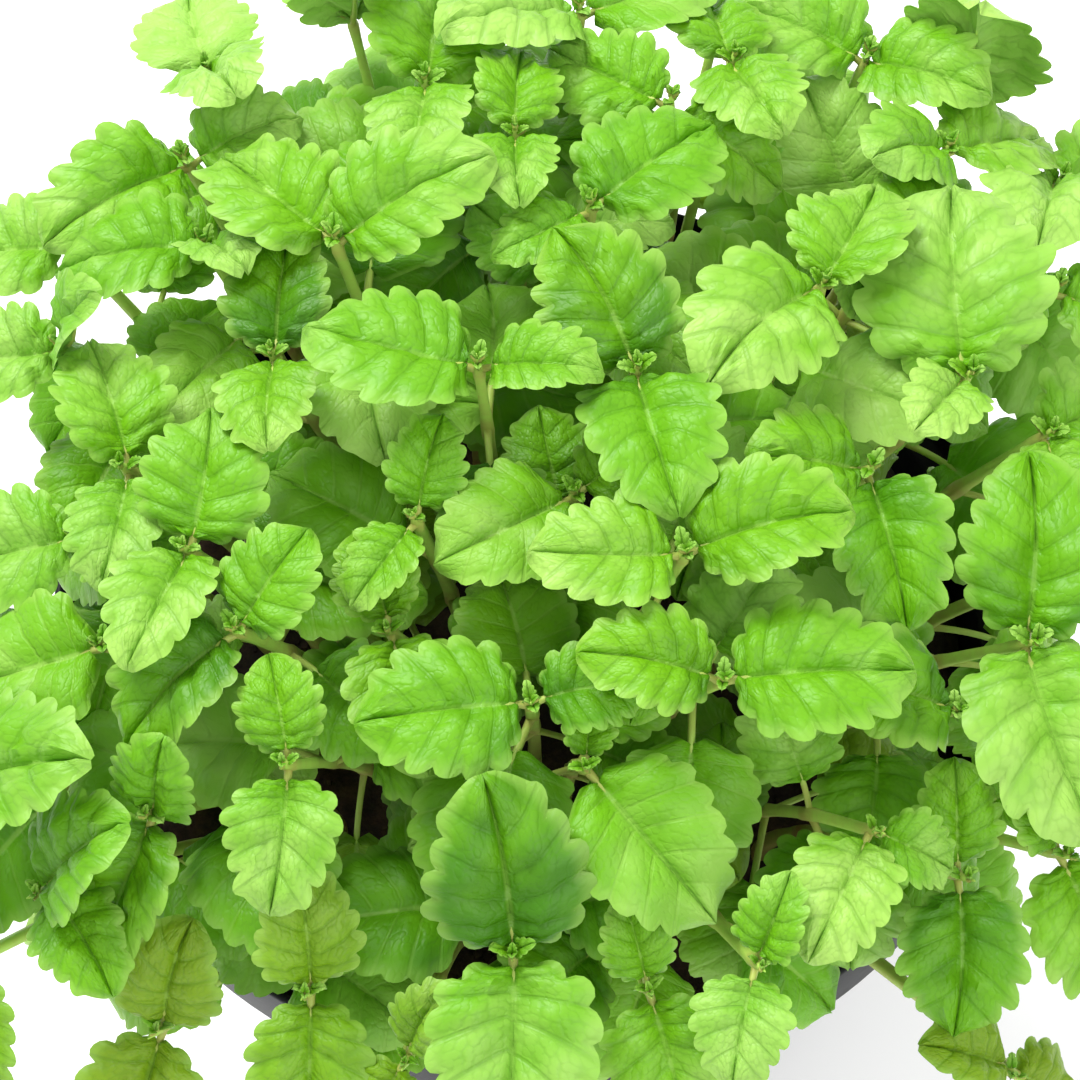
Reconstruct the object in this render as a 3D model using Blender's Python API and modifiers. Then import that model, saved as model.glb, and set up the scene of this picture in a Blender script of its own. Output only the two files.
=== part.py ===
"""A potted lemon balm plant: fifty-eight leafy stems standing in the soil of a round nursery pot.

Lengths are in metres. The origin is at the middle of the pot's underside and +Z is up.
A leafy stem is one solid: a square stem with opposite pairs of scalloped leaves, each pair
turned a quarter turn from the one above it. The top pairs stand where the planting list
says, and every other leaf is placed by rule, clear of all the leaves placed before it.
"""

import math
import random
from dataclasses import dataclass

import bmesh
import bpy
import numpy as np
from mathutils import Vector
from mathutils.bvhtree import BVHTree

MM = 0.001

# Pot, a turned shell in thin plastic
POT_HEIGHT = 0.105
RIM_RADIUS = 0.065
RIM_BAND_HEIGHT = 0.013
RIM_BAND_STEP = 0.0028
BASE_RADIUS = 0.046
BASE_EDGE = 0.003
POT_WALL = 0.0014
POT_STEPS = 24
DRAIN_HOLES = 6
DRAIN_RADIUS = 0.0045
DRAIN_CIRCLE = 0.030

# Soil, a plug that fills the pot to a little below the rim
SOIL_TOP = 0.092
SOIL_CROWN = 0.002
SOIL_STEPS = 24
REST_GAP = 0.0003

# Stems
STEM_RADIUS = 0.00125
STEM_TIP_RADIUS = 0.0007
STEM_BURIED = 0.012
STEM_BUD = 0.0035
STEM_FOOT_SHARE = 0.60
STEM_FOOT_LIMIT = 0.050
LOWEST_NODE = 0.25
STEM_BENDS = (0.0, 0.4, 0.72, 1.0)
HOLE_SIDES = 4
HOLE_RADIUS = STEM_RADIUS + 0.0006

# Canopy, the dome that the stem heads reach
CANOPY_HEIGHT = 0.062
CANOPY_DROP = 4.5
HEIGHT_SPREAD = 0.003

# Leaves
TEETH = (3, 2, 1)
PETIOLE_FACES = 7
OVAL_BASE = 0.38
OVAL_TIP = 0.76
OVAL_PEAK = 0.484
TOOTH_PEAK = 1.07
TOOTH_NOTCH = 0.89
BLADE_THICKNESS = 0.0009
PETIOLE_RADIUS = 0.00055
WIDTH_SHARE = (0.85, 0.94, 0.96)
PETIOLE_LENGTH = (0.0020, 0.0060, 0.0090)
PETIOLE_RISE = (38.0, 30.0, 20.0)
BLADE_RISE = (16.0, 2.0, -12.0)
BLADE_ARCH = (34.0, 34.0, 40.0)
BLADE_FOLD = (19.0, 11.0, 6.0)
PAIR_DROP = (0.0, 0.0135, 0.0270)
LEAF_CLEARANCE = 0.00035
LOWER_LEAF = 1.14
LONGEST_LOWER_LEAF = 0.0225
THIRD_PAIR_FROM = 0.020
SEED = 7

# Planting list, read from the plant in plan view: where each stem head stands and how its top
# pair lies. x, y: place of the head in mm. heading: way that leaf a points, in degrees from +X.
# opening: angle from leaf a to leaf b. a, b: lengths of the top pair in mm. c, d: lengths of the
# second pair, and 0 where it follows the rule. rise: height above the canopy, in mm.
PLANTING = (
    # x, y, heading, opening, a, b, c, d, rise
    (-7, -3, 175, 180, 19, 13, 0, 0, 2),
    (11, -2, 110, 170, 19, 19, 0, 0, 0),
    (33, 11, 220, 200, 20, 17, 0, 0, 1),
    (50, 2, 105, 135, 26, 12, 0, 0, 3),
    (60, -2, 35, 250, 18, 16, 0, 0, 0),
    (20, -39, 5, 165, 20, 15, 14, 18, 3),
    (-1, -41, 186, 188, 18, 12, 21, 15, 1),
    (16, -25, 20, 170, 18, 16, 0, 0, 1),
    (4, -15, 215, 180, 17, 12, 0, 0, -5),
    (-34, -31, 50, 165, 13, 17, 12, 18, 0),
    (-40, -21, 250, 185, 16, 16, 0, 0, 1),
    (-48, -9, 105, 160, 17, 14, 0, 0, 0),
    (-31, 3, 90, 175, 15, 14, 0, 0, -2),
    (-40, 20, 175, 125, 19, 12, 0, 0, -1),
    (-44, 37, 205, 180, 20, 14, 0, 0, 0),
    (-58, 26, 170, 180, 16, 12, 0, 0, 1),
    (-57, 9, 178, 180, 17, 13, 0, 0, 0),
    (-42, 51, 110, 180, 18, 17, 0, 0, 2),
    (-14, 42, 85, 180, 19, 15, 0, 0, 2),
    (-24, 16, 140, 250, 20, 20, 0, 0, 2),
    (-3, 33, 270, 180, 14, 14, 0, 0, -1),
    (6, 21, 45, 170, 19, 12, 0, 0, 1),
    (24, 48, 285, 175, 16, 15, 22, 14, 2),
    (51, 40, 30, 180, 19, 15, 0, 0, 2),
    (44, 24, 60, 180, 17, 14, 0, 0, 0),
    (56, -29, 80, 200, 21, 23, 19, 15, 2),
    (38, -10, 285, 265, 18, 15, 19, 19, -3),
    (37, -52, 245, 95, 15, 10, 0, 0, 0),
    (-3, -65, 95, 177, 20, 21, 21, 14, -1),
    (-28, -46, 268, 192, 15, 11, 14, 18, 0),
    (24, -66, 255, 165, 12, 10, 17, 16, 0),
    (48, -53, 275, 180, 17, 12, 0, 0, -5),
    (60, -50, 300, 180, 19, 12, 0, 0, -2),
    (55, -70, 345, 195, 14, 12, 13, 10, -10),
    (-67, -42, 345, 180, 22, 16, 0, 0, 2),
    (-50, -29, 190, 180, 20, 12, 0, 0, -2),
    (-54, -15, 185, 150, 17, 13, 0, 0, -4),
    (-57, -54, 20, 290, 17, 14, 0, 0, -3),
    (-44, -66, 250, 180, 20, 14, 0, 0, -14),
    (-26, -66, 270, 180, 17, 14, 0, 0, -8),
    (-15, -73, 235, 180, 13, 10, 0, 0, -8),
    (-69, -58, 280, 180, 15, 12, 0, 0, -8),
    (5, 56, 200, 180, 20, 19, 0, 0, 3),
    (-24, 58, 110, 180, 17, 19, 0, 0, 3),
    (42, 56, 150, 180, 19, 17, 0, 0, 3),
    (66, 40, 55, 180, 18, 20, 0, 0, 2),
    (63, 20, 335, 175, 19, 18, 0, 0, 1),
    (67, -16, 10, 180, 19, 17, 0, 0, 0),
    (-14, -19, 80, 155, 11, 11, 18, 12, -4),
    (-17, -30, 285, 180, 16, 11, 0, 0, -6),
    (5, -47, 294, 180, 21, 10, 0, 0, -3),
    (12, -67, 290, 180, 17, 10, 0, 0, -5),
    (47, -37, 178, 180, 19, 13, 18, 18, -2),
    (-44, -48, 235, 180, 20, 13, 0, 0, -4),
    (24, 66, 75, 180, 17, 19, 0, 0, 3),
    (-8, 70, 100, 180, 16, 18, 0, 0, 2),
    (56, 56, 70, 180, 15, 21, 0, 0, 3),
    (16, 40, 150, 180, 17, 16, 0, 0, 0),
)


@dataclass
class Stem:
    """One stem: its foot in the soil, its head, and the planting row it comes from."""

    foot: np.ndarray
    head: np.ndarray
    row: tuple

    def path(self):
        """The stem's bends from foot to head, upright at the soil and then leaning out, and its bud."""
        share = np.array(STEM_BENDS)[:, None]
        bends = self.foot + (self.head - self.foot) * np.hstack((share**1.7, share**1.7, share))
        bud = self.head + (bends[-1] - bends[-2]) / np.linalg.norm(bends[-1] - bends[-2]) * STEM_BUD
        return np.vstack((bends, bud))

    def at_drop(self, drop):
        """The point of the stem this far below its head, and the way that it leans there."""
        share = max(1.0 - drop / (self.head[2] - self.foot[2]), LOWEST_NODE)
        bends = self.path()[:-1]
        here = np.array([np.interp(share, STEM_BENDS, bends[:, k]) for k in range(3)])
        piece = min(int(np.searchsorted(STEM_BENDS, share, "right")) - 1, len(STEM_BENDS) - 2)
        lean = bends[piece + 1] - bends[piece]
        return here, lean / np.linalg.norm(lean)


@dataclass
class Leaf:
    """One leaf on its stem. Angles are in degrees, and rises are above the horizontal."""

    root: np.ndarray
    heading: float
    petiole: float
    length: float
    width: float
    petiole_rise: float
    blade_rise: float
    arch: float
    fold: float
    roll: float
    sweep: float
    teeth: int

    def midrib(self, along):
        """Places, forward and upward vectors at these distances along the petiole and midrib."""
        total = self.petiole + self.length
        steps = np.linspace(0.0, total, 41)
        on_petiole = np.clip(steps / self.petiole, 0.0, 1.0)
        on_blade = np.clip((steps - self.petiole) / self.length, 0.0, 1.0)
        rise = self.petiole_rise + (self.blade_rise - self.petiole_rise) * on_petiole
        rise = np.radians(rise - self.arch * on_blade**1.4)
        middle = (rise[1:] + rise[:-1]) / 2
        step = total / 40
        up = np.concatenate(([0.0], np.cumsum(np.sin(middle) * step)))
        along = np.asarray(along, float)
        turn = np.radians(self.heading + self.sweep * on_blade)
        turn_middle = (turn[1:] + turn[:-1]) / 2
        x, y = (
            np.interp(along, steps, np.concatenate(([0.0], np.cumsum(np.cos(middle) * part * step))))
            for part in (np.cos(turn_middle), np.sin(turn_middle))
        )
        place = self.root + np.column_stack((x, y, np.interp(along, steps, up)))
        angle = np.interp(along, steps, rise)[:, None]
        turn = np.interp(along, steps, turn)
        ahead = np.column_stack((np.cos(turn), np.sin(turn), np.zeros_like(turn)))
        forward = np.cos(angle) * ahead + np.sin(angle) * np.array((0.0, 0.0, 1.0))
        level = np.cross((0.0, 0.0, 1.0), ahead)
        normal = np.cross(forward, level)
        roll = math.radians(self.roll)
        across = level * math.cos(roll) + normal * math.sin(roll)
        return place, across, normal * math.cos(roll) - level * math.sin(roll)

    def half_width(self, share):
        """Half the blade's width at these shares of its length: an oval, broadest at a third."""
        share = np.clip(share, 0.0, 1.0)
        return self.width / 2 * share**OVAL_BASE * (1 - share) ** OVAL_TIP / OVAL_PEAK


def pot_profile():
    """The pot's half profile, from the middle of its floor up the inside and down the outside."""
    band_foot = POT_HEIGHT - RIM_BAND_HEIGHT
    neck = RIM_RADIUS - RIM_BAND_STEP
    return [
        (0.0, POT_WALL),
        (BASE_RADIUS - BASE_EDGE, POT_WALL),
        (BASE_RADIUS - POT_WALL, BASE_EDGE + POT_WALL),
        (neck - POT_WALL - 0.0004, band_foot),
        (RIM_RADIUS - POT_WALL - 0.0002, band_foot + 0.002),
        (RIM_RADIUS - POT_WALL, POT_HEIGHT - 0.0004),
        (RIM_RADIUS - POT_WALL / 2, POT_HEIGHT),
        (RIM_RADIUS, POT_HEIGHT - 0.0004),
        (RIM_RADIUS - 0.0004, band_foot),
        (neck, band_foot),
        (BASE_RADIUS, BASE_EDGE),
        (BASE_RADIUS - BASE_EDGE, 0.0),
        (0.0, 0.0),
    ]


def inner_radius(height):
    """The pot's inner radius at this height, on its plain tapered wall."""
    low = (BASE_EDGE + POT_WALL, BASE_RADIUS - POT_WALL)
    high = (POT_HEIGHT - RIM_BAND_HEIGHT, RIM_RADIUS - RIM_BAND_STEP - POT_WALL - 0.0004)
    return low[1] + (high[1] - low[1]) * (height - low[0]) / (high[0] - low[0])


def canopy(x, y):
    """Height of the canopy over a place in plan: highest over the pot's middle, lower outwards."""
    return POT_HEIGHT + CANOPY_HEIGHT - CANOPY_DROP * (x * x + y * y)


def planted_stems():
    """The stems of the planting list, each with its foot drawn in towards the middle of the pot."""
    draw = random.Random(SEED)
    stems = []
    for row in PLANTING:
        x, y, rise = row[0] * MM, row[1] * MM, row[8] * MM
        head = np.array((x, y, canopy(x, y) + rise + draw.uniform(-1, 1) * HEIGHT_SPREAD / 2))
        out = math.hypot(x, y)
        foot_out = min(out * STEM_FOOT_SHARE, STEM_FOOT_LIMIT)
        foot = np.array((x * foot_out / out, y * foot_out / out, SOIL_TOP))
        stems.append(Stem(foot, head, row))
    return stems


def grown_leaf(stem, pair, side, draw):
    """The leaf that the rule gives a stem, before it is bent clear of its neighbours."""
    x, y, heading, opening, a, b, c, d, rise = stem.row
    lower = min(LOWER_LEAF * (a + b) / 2 * MM, LONGEST_LOWER_LEAF)
    if pair == 0:
        turn, length = (heading, a * MM) if side == 0 else (heading + opening, b * MM)
    elif pair == 1:
        turn = heading + opening / 2 + 180 * side
        length = ((c, d)[side] or 0) * MM or lower * draw.uniform(0.9, 1.1)
    else:
        turn = heading + 180 * side + draw.uniform(-15, 15)
        length = lower * draw.uniform(0.95, 1.15)
    root, lean = stem.at_drop(PAIR_DROP[pair])
    tilt = math.degrees(math.atan2(math.hypot(lean[0], lean[1]), lean[2]))
    tilt *= math.cos(math.radians(turn) - math.atan2(lean[1], lean[0]))
    return Leaf(
        root=root,
        heading=turn,
        petiole=PETIOLE_LENGTH[pair] * draw.uniform(0.85, 1.2),
        length=length,
        width=length * WIDTH_SHARE[pair] * draw.uniform(0.90, 1.10),
        petiole_rise=PETIOLE_RISE[pair] - tilt + draw.uniform(-5, 5),
        blade_rise=BLADE_RISE[pair] - tilt + draw.uniform(-7, 7),
        arch=BLADE_ARCH[pair] * draw.uniform(0.6, 1.4),
        fold=BLADE_FOLD[pair] * draw.uniform(0.4, 1.5),
        roll=draw.uniform(-13, 13),
        sweep=draw.uniform(-20, 20),
        teeth=TEETH[pair],
    )


def zipped(edge, edge_at, rib, rib_at):
    """Triangles between a blade's edge and its rib, both running from base to tip."""
    faces, i, j = [], 0, 0
    while i < len(edge) - 1 or j < len(rib) - 1:
        last_edge, last_rib = i == len(edge) - 1, j == len(rib) - 1
        if last_rib or (not last_edge and edge_at[i + 1] <= rib_at[j + 1]):
            faces.append((edge[i], edge[i + 1], rib[j]))
            i += 1
        else:
            faces.append((edge[i], rib[j + 1], rib[j]))
            j += 1
    return faces


def leaf_surface(leaf, grow=0.0):
    """Points and triangles of a leaf: a three-sided petiole that opens into a blade with a scalloped
    edge, thickest along its rib. grow swells it on all sides, for telling whether it has room.
    The petiole's triangles come first."""
    ends = [(tooth + share) / (leaf.teeth + 0.4) for tooth in range(leaf.teeth) for share in (0.6, 1.0)]
    reach = [TOOTH_PEAK, TOOTH_NOTCH] * leaf.teeth
    ribs = [0.36, 0.72]
    length = leaf.length + grow
    shares = np.array([0.0, 0.0, *ends, *ribs, 1.0])
    along = np.concatenate(([0.0], leaf.petiole + shares[1:-1] * leaf.length, [leaf.petiole + leaf.length]))
    place, across, normal = leaf.midrib(along)
    place[-1] += (place[-1] - place[-2]) / np.linalg.norm(place[-1] - place[-2]) * (length - leaf.length)
    thin = PETIOLE_RADIUS + grow
    half = leaf.half_width(np.array(ends)) * np.array(reach) + grow
    fold = math.radians(leaf.fold)
    points = []
    for at in (0, 1):
        points += [place[at] + across[at] * thin, place[at] - across[at] * thin]
        points.append(place[at] - normal[at] * 1.7 * thin)
    for side in (1, -1):
        for k in range(len(ends)):
            out = across[2 + k] * side * half[k] * math.cos(fold) + normal[2 + k] * half[k] * math.sin(fold)
            points.append(place[2 + k] + out)
    thick = BLADE_THICKNESS / 2 + grow
    for k in range(len(ribs)):
        at = 2 + len(ends) + k
        points += [place[at] + normal[at] * thick, place[at] - normal[at] * thick]
    points.append(place[-1])
    tip = len(points) - 1
    left = [3, *range(6, 6 + len(ends)), tip]
    right = [4, *range(6 + len(ends), 6 + 2 * len(ends)), tip]
    first_rib = 6 + 2 * len(ends)
    faces = [(0, 1, 2), (0, 3, 4), (0, 4, 1), (1, 4, 5), (1, 5, 2), (2, 5, 3), (2, 3, 0)]
    edge_at = [0.0, *ends, 1.0]
    for face, edge in ((0, left), (0, right), (1, left), (1, right)):
        rib = [first_rib + face, first_rib + 2 + face]
        faces += zipped(edge, edge_at, rib, ribs)
    faces += [(3, 4, first_rib), (3, 5, first_rib + 1), (4, 5, first_rib + 1)]
    return np.array(points), faces


class Room:
    """The space already taken by stems and leaves, for placing the next leaf clear of them."""

    def __init__(self, stems):
        """Takes the room of the stems."""
        self.lows, self.highs, self.owners, self.whole, self.blades = [], [], [], [], []
        for owner, stem in enumerate(stems):
            path = stem.path()
            reach = (STEM_RADIUS + LEAF_CLEARANCE) / math.cos(math.pi / 6)
            ring = [(reach * math.cos(k * math.pi / 3), reach * math.sin(k * math.pi / 3)) for k in range(6)]
            points = [Vector((p[0] + dx, p[1] + dy, p[2])) for p in path for dx, dy in ring]
            faces = []
            for level in range(len(path) - 1):
                for k in range(6):
                    a, b = 6 * level + k, 6 * level + (k + 1) % 6
                    faces.append((a, b, b + 6, a + 6))
            self.add(owner, np.array(points), BVHTree.FromPolygons(points, faces), None)

    def add(self, owner, points, whole, blade):
        """Takes the room of one more shape."""
        self.lows.append(points.min(axis=0))
        self.highs.append(points.max(axis=0))
        self.owners.append(owner)
        self.whole.append(whole)
        self.blades.append(blade)

    def is_free(self, owner, points, whole, blade):
        """True where a leaf of this stem meets no other stem's shape, and no blade of its own stem."""
        if points[:, 2].min() < SOIL_TOP + SOIL_CROWN + 0.001:
            return False
        radius = np.hypot(points[:, 0], points[:, 1])
        if (points[(radius > RIM_RADIUS - 0.006), 2] < POT_HEIGHT + 0.0015).any() and (
            points[(radius < RIM_RADIUS + 0.004), 2] < POT_HEIGHT + 0.0015
        ).any():
            return False
        near = np.all(np.array(self.lows) <= points.max(axis=0), axis=1)
        near &= np.all(np.array(self.highs) >= points.min(axis=0), axis=1)
        for k in np.flatnonzero(near):
            if self.owners[k] != owner:
                if self.whole[k].overlap(whole):
                    return False
            elif self.blades[k] is not None and self.blades[k].overlap(blade):
                return False
        return True


def bends():
    """The ways to bend a leaf clear, the slightest first: turn, lift and length."""
    ways = (
        (0, 0), (0, 7), (0, -7), (9, 0), (-9, 0), (0, 14), (0, -14),
        (9, 10), (-9, 10), (9, -10), (-9, -10), (18, 0), (-18, 0), (0, 22), (0, -22),
        (18, 14), (-18, 14), (18, -14), (-18, -14), (0, 32), (0, -32),
        (30, 0), (-30, 0), (30, 18), (-30, 18), (30, -18), (-30, -18),
    )
    for size in (1.0, 0.9, 0.8, 0.7):
        for turn, lift in ways:
            yield turn, lift, size


def fitted(leaf, owner, room):
    """The leaf bent clear of what is already placed, or None where it has no room."""
    for turn, lift, size in bends():
        trial = Leaf(**vars(leaf))
        trial.heading += turn
        trial.petiole_rise += lift * 0.6
        trial.blade_rise += lift
        trial.length *= size
        trial.width *= size
        points, faces = leaf_surface(trial, LEAF_CLEARANCE)
        vectors = [Vector(p) for p in points]
        whole = BVHTree.FromPolygons(vectors, faces)
        blade = BVHTree.FromPolygons(vectors, faces[PETIOLE_FACES:])
        if room.is_free(owner, points, whole, blade):
            room.add(owner, points, whole, blade)
            return trial
    return None


def grown_leaves(stems):
    """The leaves of every stem. All top pairs take their room first, then the pairs under them."""
    draw = random.Random(SEED + 1)
    room = Room(stems)
    leaves = [[] for _ in stems]
    for pair in range(3):
        for owner, stem in enumerate(stems):
            if pair == 2 and np.hypot(*stem.head[:2]) < THIRD_PAIR_FROM:
                continue
            for side in (0, 1):
                leaf = fitted(grown_leaf(stem, pair, side, draw), owner, room)
                if leaf is not None:
                    leaves[owner].append(leaf)
    return leaves


def material(name, colour, roughness):
    """A plain Principled material."""
    made = bpy.data.materials.new(name)
    made.use_nodes = True
    shader = made.node_tree.nodes["Principled BSDF"]
    shader.inputs["Base Color"].default_value = (*colour, 1.0)
    shader.inputs["Roughness"].default_value = roughness
    shader.inputs["Metallic"].default_value = 0.0
    return made


def placed(name, mesh, collection, surface=None):
    """A new object of this mesh in a collection."""
    made = bpy.data.objects.new(name, mesh)
    collection.objects.link(made)
    if surface is not None:
        made.data.materials.append(surface)
    return made


def is_one_body(shape):
    """True where a mesh is closed and all its faces hang together by their edges."""
    if any(len(edge.link_faces) != 2 for edge in shape.edges):
        return False
    shape.faces.ensure_lookup_table()
    seen, waiting = {shape.faces[0]}, [shape.faces[0]]
    while waiting:
        for edge in waiting.pop().edges:
            for face in edge.link_faces:
                if face not in seen:
                    seen.add(face)
                    waiting.append(face)
    return len(seen) == len(shape.faces)


def evaluated(obj):
    """The object's mesh with its modifiers applied, welded and facing out, and whether it is one body."""
    graph = bpy.context.evaluated_depsgraph_get()
    mesh = bpy.data.meshes.new_from_object(obj.evaluated_get(graph))
    shape = bmesh.new()
    shape.from_mesh(mesh)
    bmesh.ops.remove_doubles(shape, verts=shape.verts, dist=0.000001)
    bmesh.ops.recalc_face_normals(shape, faces=shape.faces)
    whole = is_one_body(shape)
    shape.to_mesh(mesh)
    shape.free()
    return mesh, whole


def exchanged(obj, mesh):
    """A new object of this mesh in the place of the old one."""
    made = bpy.data.objects.new(obj.name, mesh)
    made.matrix_world = obj.matrix_world
    for collection in obj.users_collection:
        collection.objects.link(made)
    name = obj.name
    bpy.data.objects.remove(obj)
    made.name = name
    return made


def turned(name, profile, steps, collection):
    """A solid turned about Z from a half profile that starts and ends on the axis."""
    mesh = bpy.data.meshes.new(name)
    points = [(radius, 0.0, height) for radius, height in profile]
    mesh.from_pydata(points, [(k, k + 1) for k in range(len(points) - 1)], [])
    obj = placed(name, mesh, collection)
    screw = obj.modifiers.new("turn", "SCREW")
    screw.axis = "Z"
    screw.steps = steps
    screw.render_steps = steps
    screw.use_merge_vertices = True
    screw.merge_threshold = 0.00001
    return exchanged(obj, evaluated(obj)[0])


def cylinder(name, radius, low, high, place, sides, collection):
    """An upright cylinder, for cutting a hole."""
    mesh = bpy.data.meshes.new(name)
    shape = bmesh.new()
    bmesh.ops.create_cone(
        shape, cap_ends=True, segments=sides, radius1=radius, radius2=radius, depth=high - low
    )
    shape.to_mesh(mesh)
    shape.free()
    obj = placed(name, mesh, collection)
    obj.location = (place[0], place[1], (low + high) / 2)
    obj.hide_render = True
    obj.display_type = "WIRE"
    return obj


def cut(obj, cutters, solver="EXACT"):
    """Cuts a collection of cutters out of an object."""
    boolean = obj.modifiers.new("cut", "BOOLEAN")
    boolean.operation = "DIFFERENCE"
    boolean.operand_type = "COLLECTION"
    boolean.collection = cutters
    boolean.solver = solver


def make_pot(parts, cutters, surface):
    """The pot: a tapered shell with a deep rim band and drain holes in its floor."""
    pot = turned("pot", pot_profile(), POT_STEPS, parts)
    for k in range(DRAIN_HOLES):
        angle = 2 * math.pi * (k + 0.5) / DRAIN_HOLES
        place = (DRAIN_CIRCLE * math.cos(angle), DRAIN_CIRCLE * math.sin(angle))
        cylinder(f"drain_cutter_{k + 1}", DRAIN_RADIUS, -0.002, POT_WALL + 0.002, place, 10, cutters)
    cut(pot, cutters)
    pot.data.materials.clear()
    pot.data.materials.append(surface)
    pot.data.shade_smooth()
    pot.data.set_sharp_from_angle(angle=math.radians(35))
    return pot


def make_soil(stems, parts, cutters, surface):
    """The soil: a plug a rest gap clear of the pot, with a plain hole for each stem."""
    low = POT_WALL + REST_GAP
    foot = BASE_EDGE + POT_WALL
    profile = [
        (0.0, SOIL_TOP + SOIL_CROWN),
        (inner_radius(SOIL_TOP) * 0.55, SOIL_TOP + SOIL_CROWN * 0.8),
        (inner_radius(SOIL_TOP) - 0.004, SOIL_TOP),
        (inner_radius(SOIL_TOP - 0.003) - REST_GAP, SOIL_TOP - 0.003),
        (inner_radius(foot) - REST_GAP, foot),
        (BASE_RADIUS - BASE_EDGE - REST_GAP, low),
        (0.0, low),
    ]
    soil = turned("soil", profile, SOIL_STEPS, parts)
    for k, stem in enumerate(stems):
        place = tuple(stem.foot[:2])
        low_end = SOIL_TOP - STEM_BURIED - REST_GAP
        cylinder(f"stem_hole_{k + 1:02d}", HOLE_RADIUS, low_end, SOIL_TOP + 0.01, place, HOLE_SIDES, cutters)
    cut(soil, cutters)
    soil.data.materials.append(surface)
    return soil


def make_stem(name, stem, collection):
    """The bare stem: a square tube from its buried foot to its bud."""
    path = stem.path()
    points = [path[0] - np.array((0.0, 0.0, STEM_BURIED)), *path]
    line = bpy.data.curves.new(name, "CURVE")
    line.dimensions = "3D"
    line.bevel_depth = STEM_RADIUS
    line.bevel_resolution = 0
    line.use_fill_caps = True
    spline = line.splines.new("POLY")
    spline.points.add(len(points) - 1)
    radii = [1.0, 1.0, 0.9, 0.8, 0.7, 0.3]
    for place, radius, at in zip(points, radii, spline.points):
        at.co = (*place, 1.0)
        at.radius = radius
    obj = placed(name, line, collection)
    return exchanged(obj, evaluated(obj)[0])


def make_leafy_stem(number, stem, leaves, parts, surface):
    """One leafy stem: the stem joined with its leaves into a single solid."""
    name = f"leafy_stem_{number:02d}"
    obj = make_stem(name, stem, parts)
    twigs = bpy.data.collections.new(name + "_leaves")
    bpy.context.scene.collection.children.link(twigs)
    for k, leaf in enumerate(leaves):
        points, faces = leaf_surface(leaf)
        mesh = bpy.data.meshes.new(f"{name}_leaf_{k}")
        mesh.from_pydata(points.tolist(), [], faces)
        shape = bmesh.new()
        shape.from_mesh(mesh)
        bmesh.ops.recalc_face_normals(shape, faces=shape.faces)
        shape.to_mesh(mesh)
        shape.free()
        placed(mesh.name, mesh, twigs)
    union = obj.modifiers.new("join", "BOOLEAN")
    union.operation = "UNION"
    union.operand_type = "COLLECTION"
    union.collection = twigs
    whole = False
    while not whole:
        for solver in ("EXACT", "MANIFOLD"):
            union.solver = solver
            mesh, whole = evaluated(obj)
            if whole:
                break
        else:
            print(name, "is not one body with its leaf", len(twigs.objects) - 1)
            bpy.data.objects.remove(twigs.objects[-1])
    made = exchanged(obj, mesh)
    for twig in list(twigs.objects):
        bpy.data.objects.remove(twig)
    bpy.data.collections.remove(twigs)
    made.data.materials.clear()
    made.data.materials.append(surface)
    return made


def main():
    """Builds the whole plant."""
    for obj in list(bpy.data.objects):
        bpy.data.objects.remove(obj)
    scene = bpy.context.scene.collection
    parts = bpy.data.collections.new("lemon_balm_plant")
    pot_cutters = bpy.data.collections.new("pot_cutters")
    soil_cutters = bpy.data.collections.new("soil_cutters")
    for collection in (parts, pot_cutters, soil_cutters):
        scene.children.link(collection)
    plastic = material("pot_plastic", (0.012, 0.012, 0.013), 0.45)
    peat = material("soil_peat", (0.035, 0.020, 0.012), 0.95)
    leaf_green = material("leaf_green", (0.20, 0.50, 0.05), 0.55)
    stems = planted_stems()
    leaves = grown_leaves(stems)
    make_pot(parts, pot_cutters, plastic)
    make_soil(stems, parts, soil_cutters, peat)
    for number, (stem, own) in enumerate(zip(stems, leaves), start=1):
        make_leafy_stem(number, stem, own, parts, leaf_green)


main()
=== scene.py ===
"""Scene of a young lemon balm plant in a round nursery pot, seen from above its front edge.

The planting list, the growing rule and every driving size are those of the solids, so each fine
leaf lies where the solid leaf lies. Lengths are in metres and angles in degrees.
"""

import logging
import math
import random
from collections.abc import Iterator
from dataclasses import dataclass, field, replace
from enum import Enum
from functools import partial

import bpy
import numpy as np
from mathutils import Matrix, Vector
from mathutils.bvhtree import BVHTree
from numpy.typing import NDArray


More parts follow.
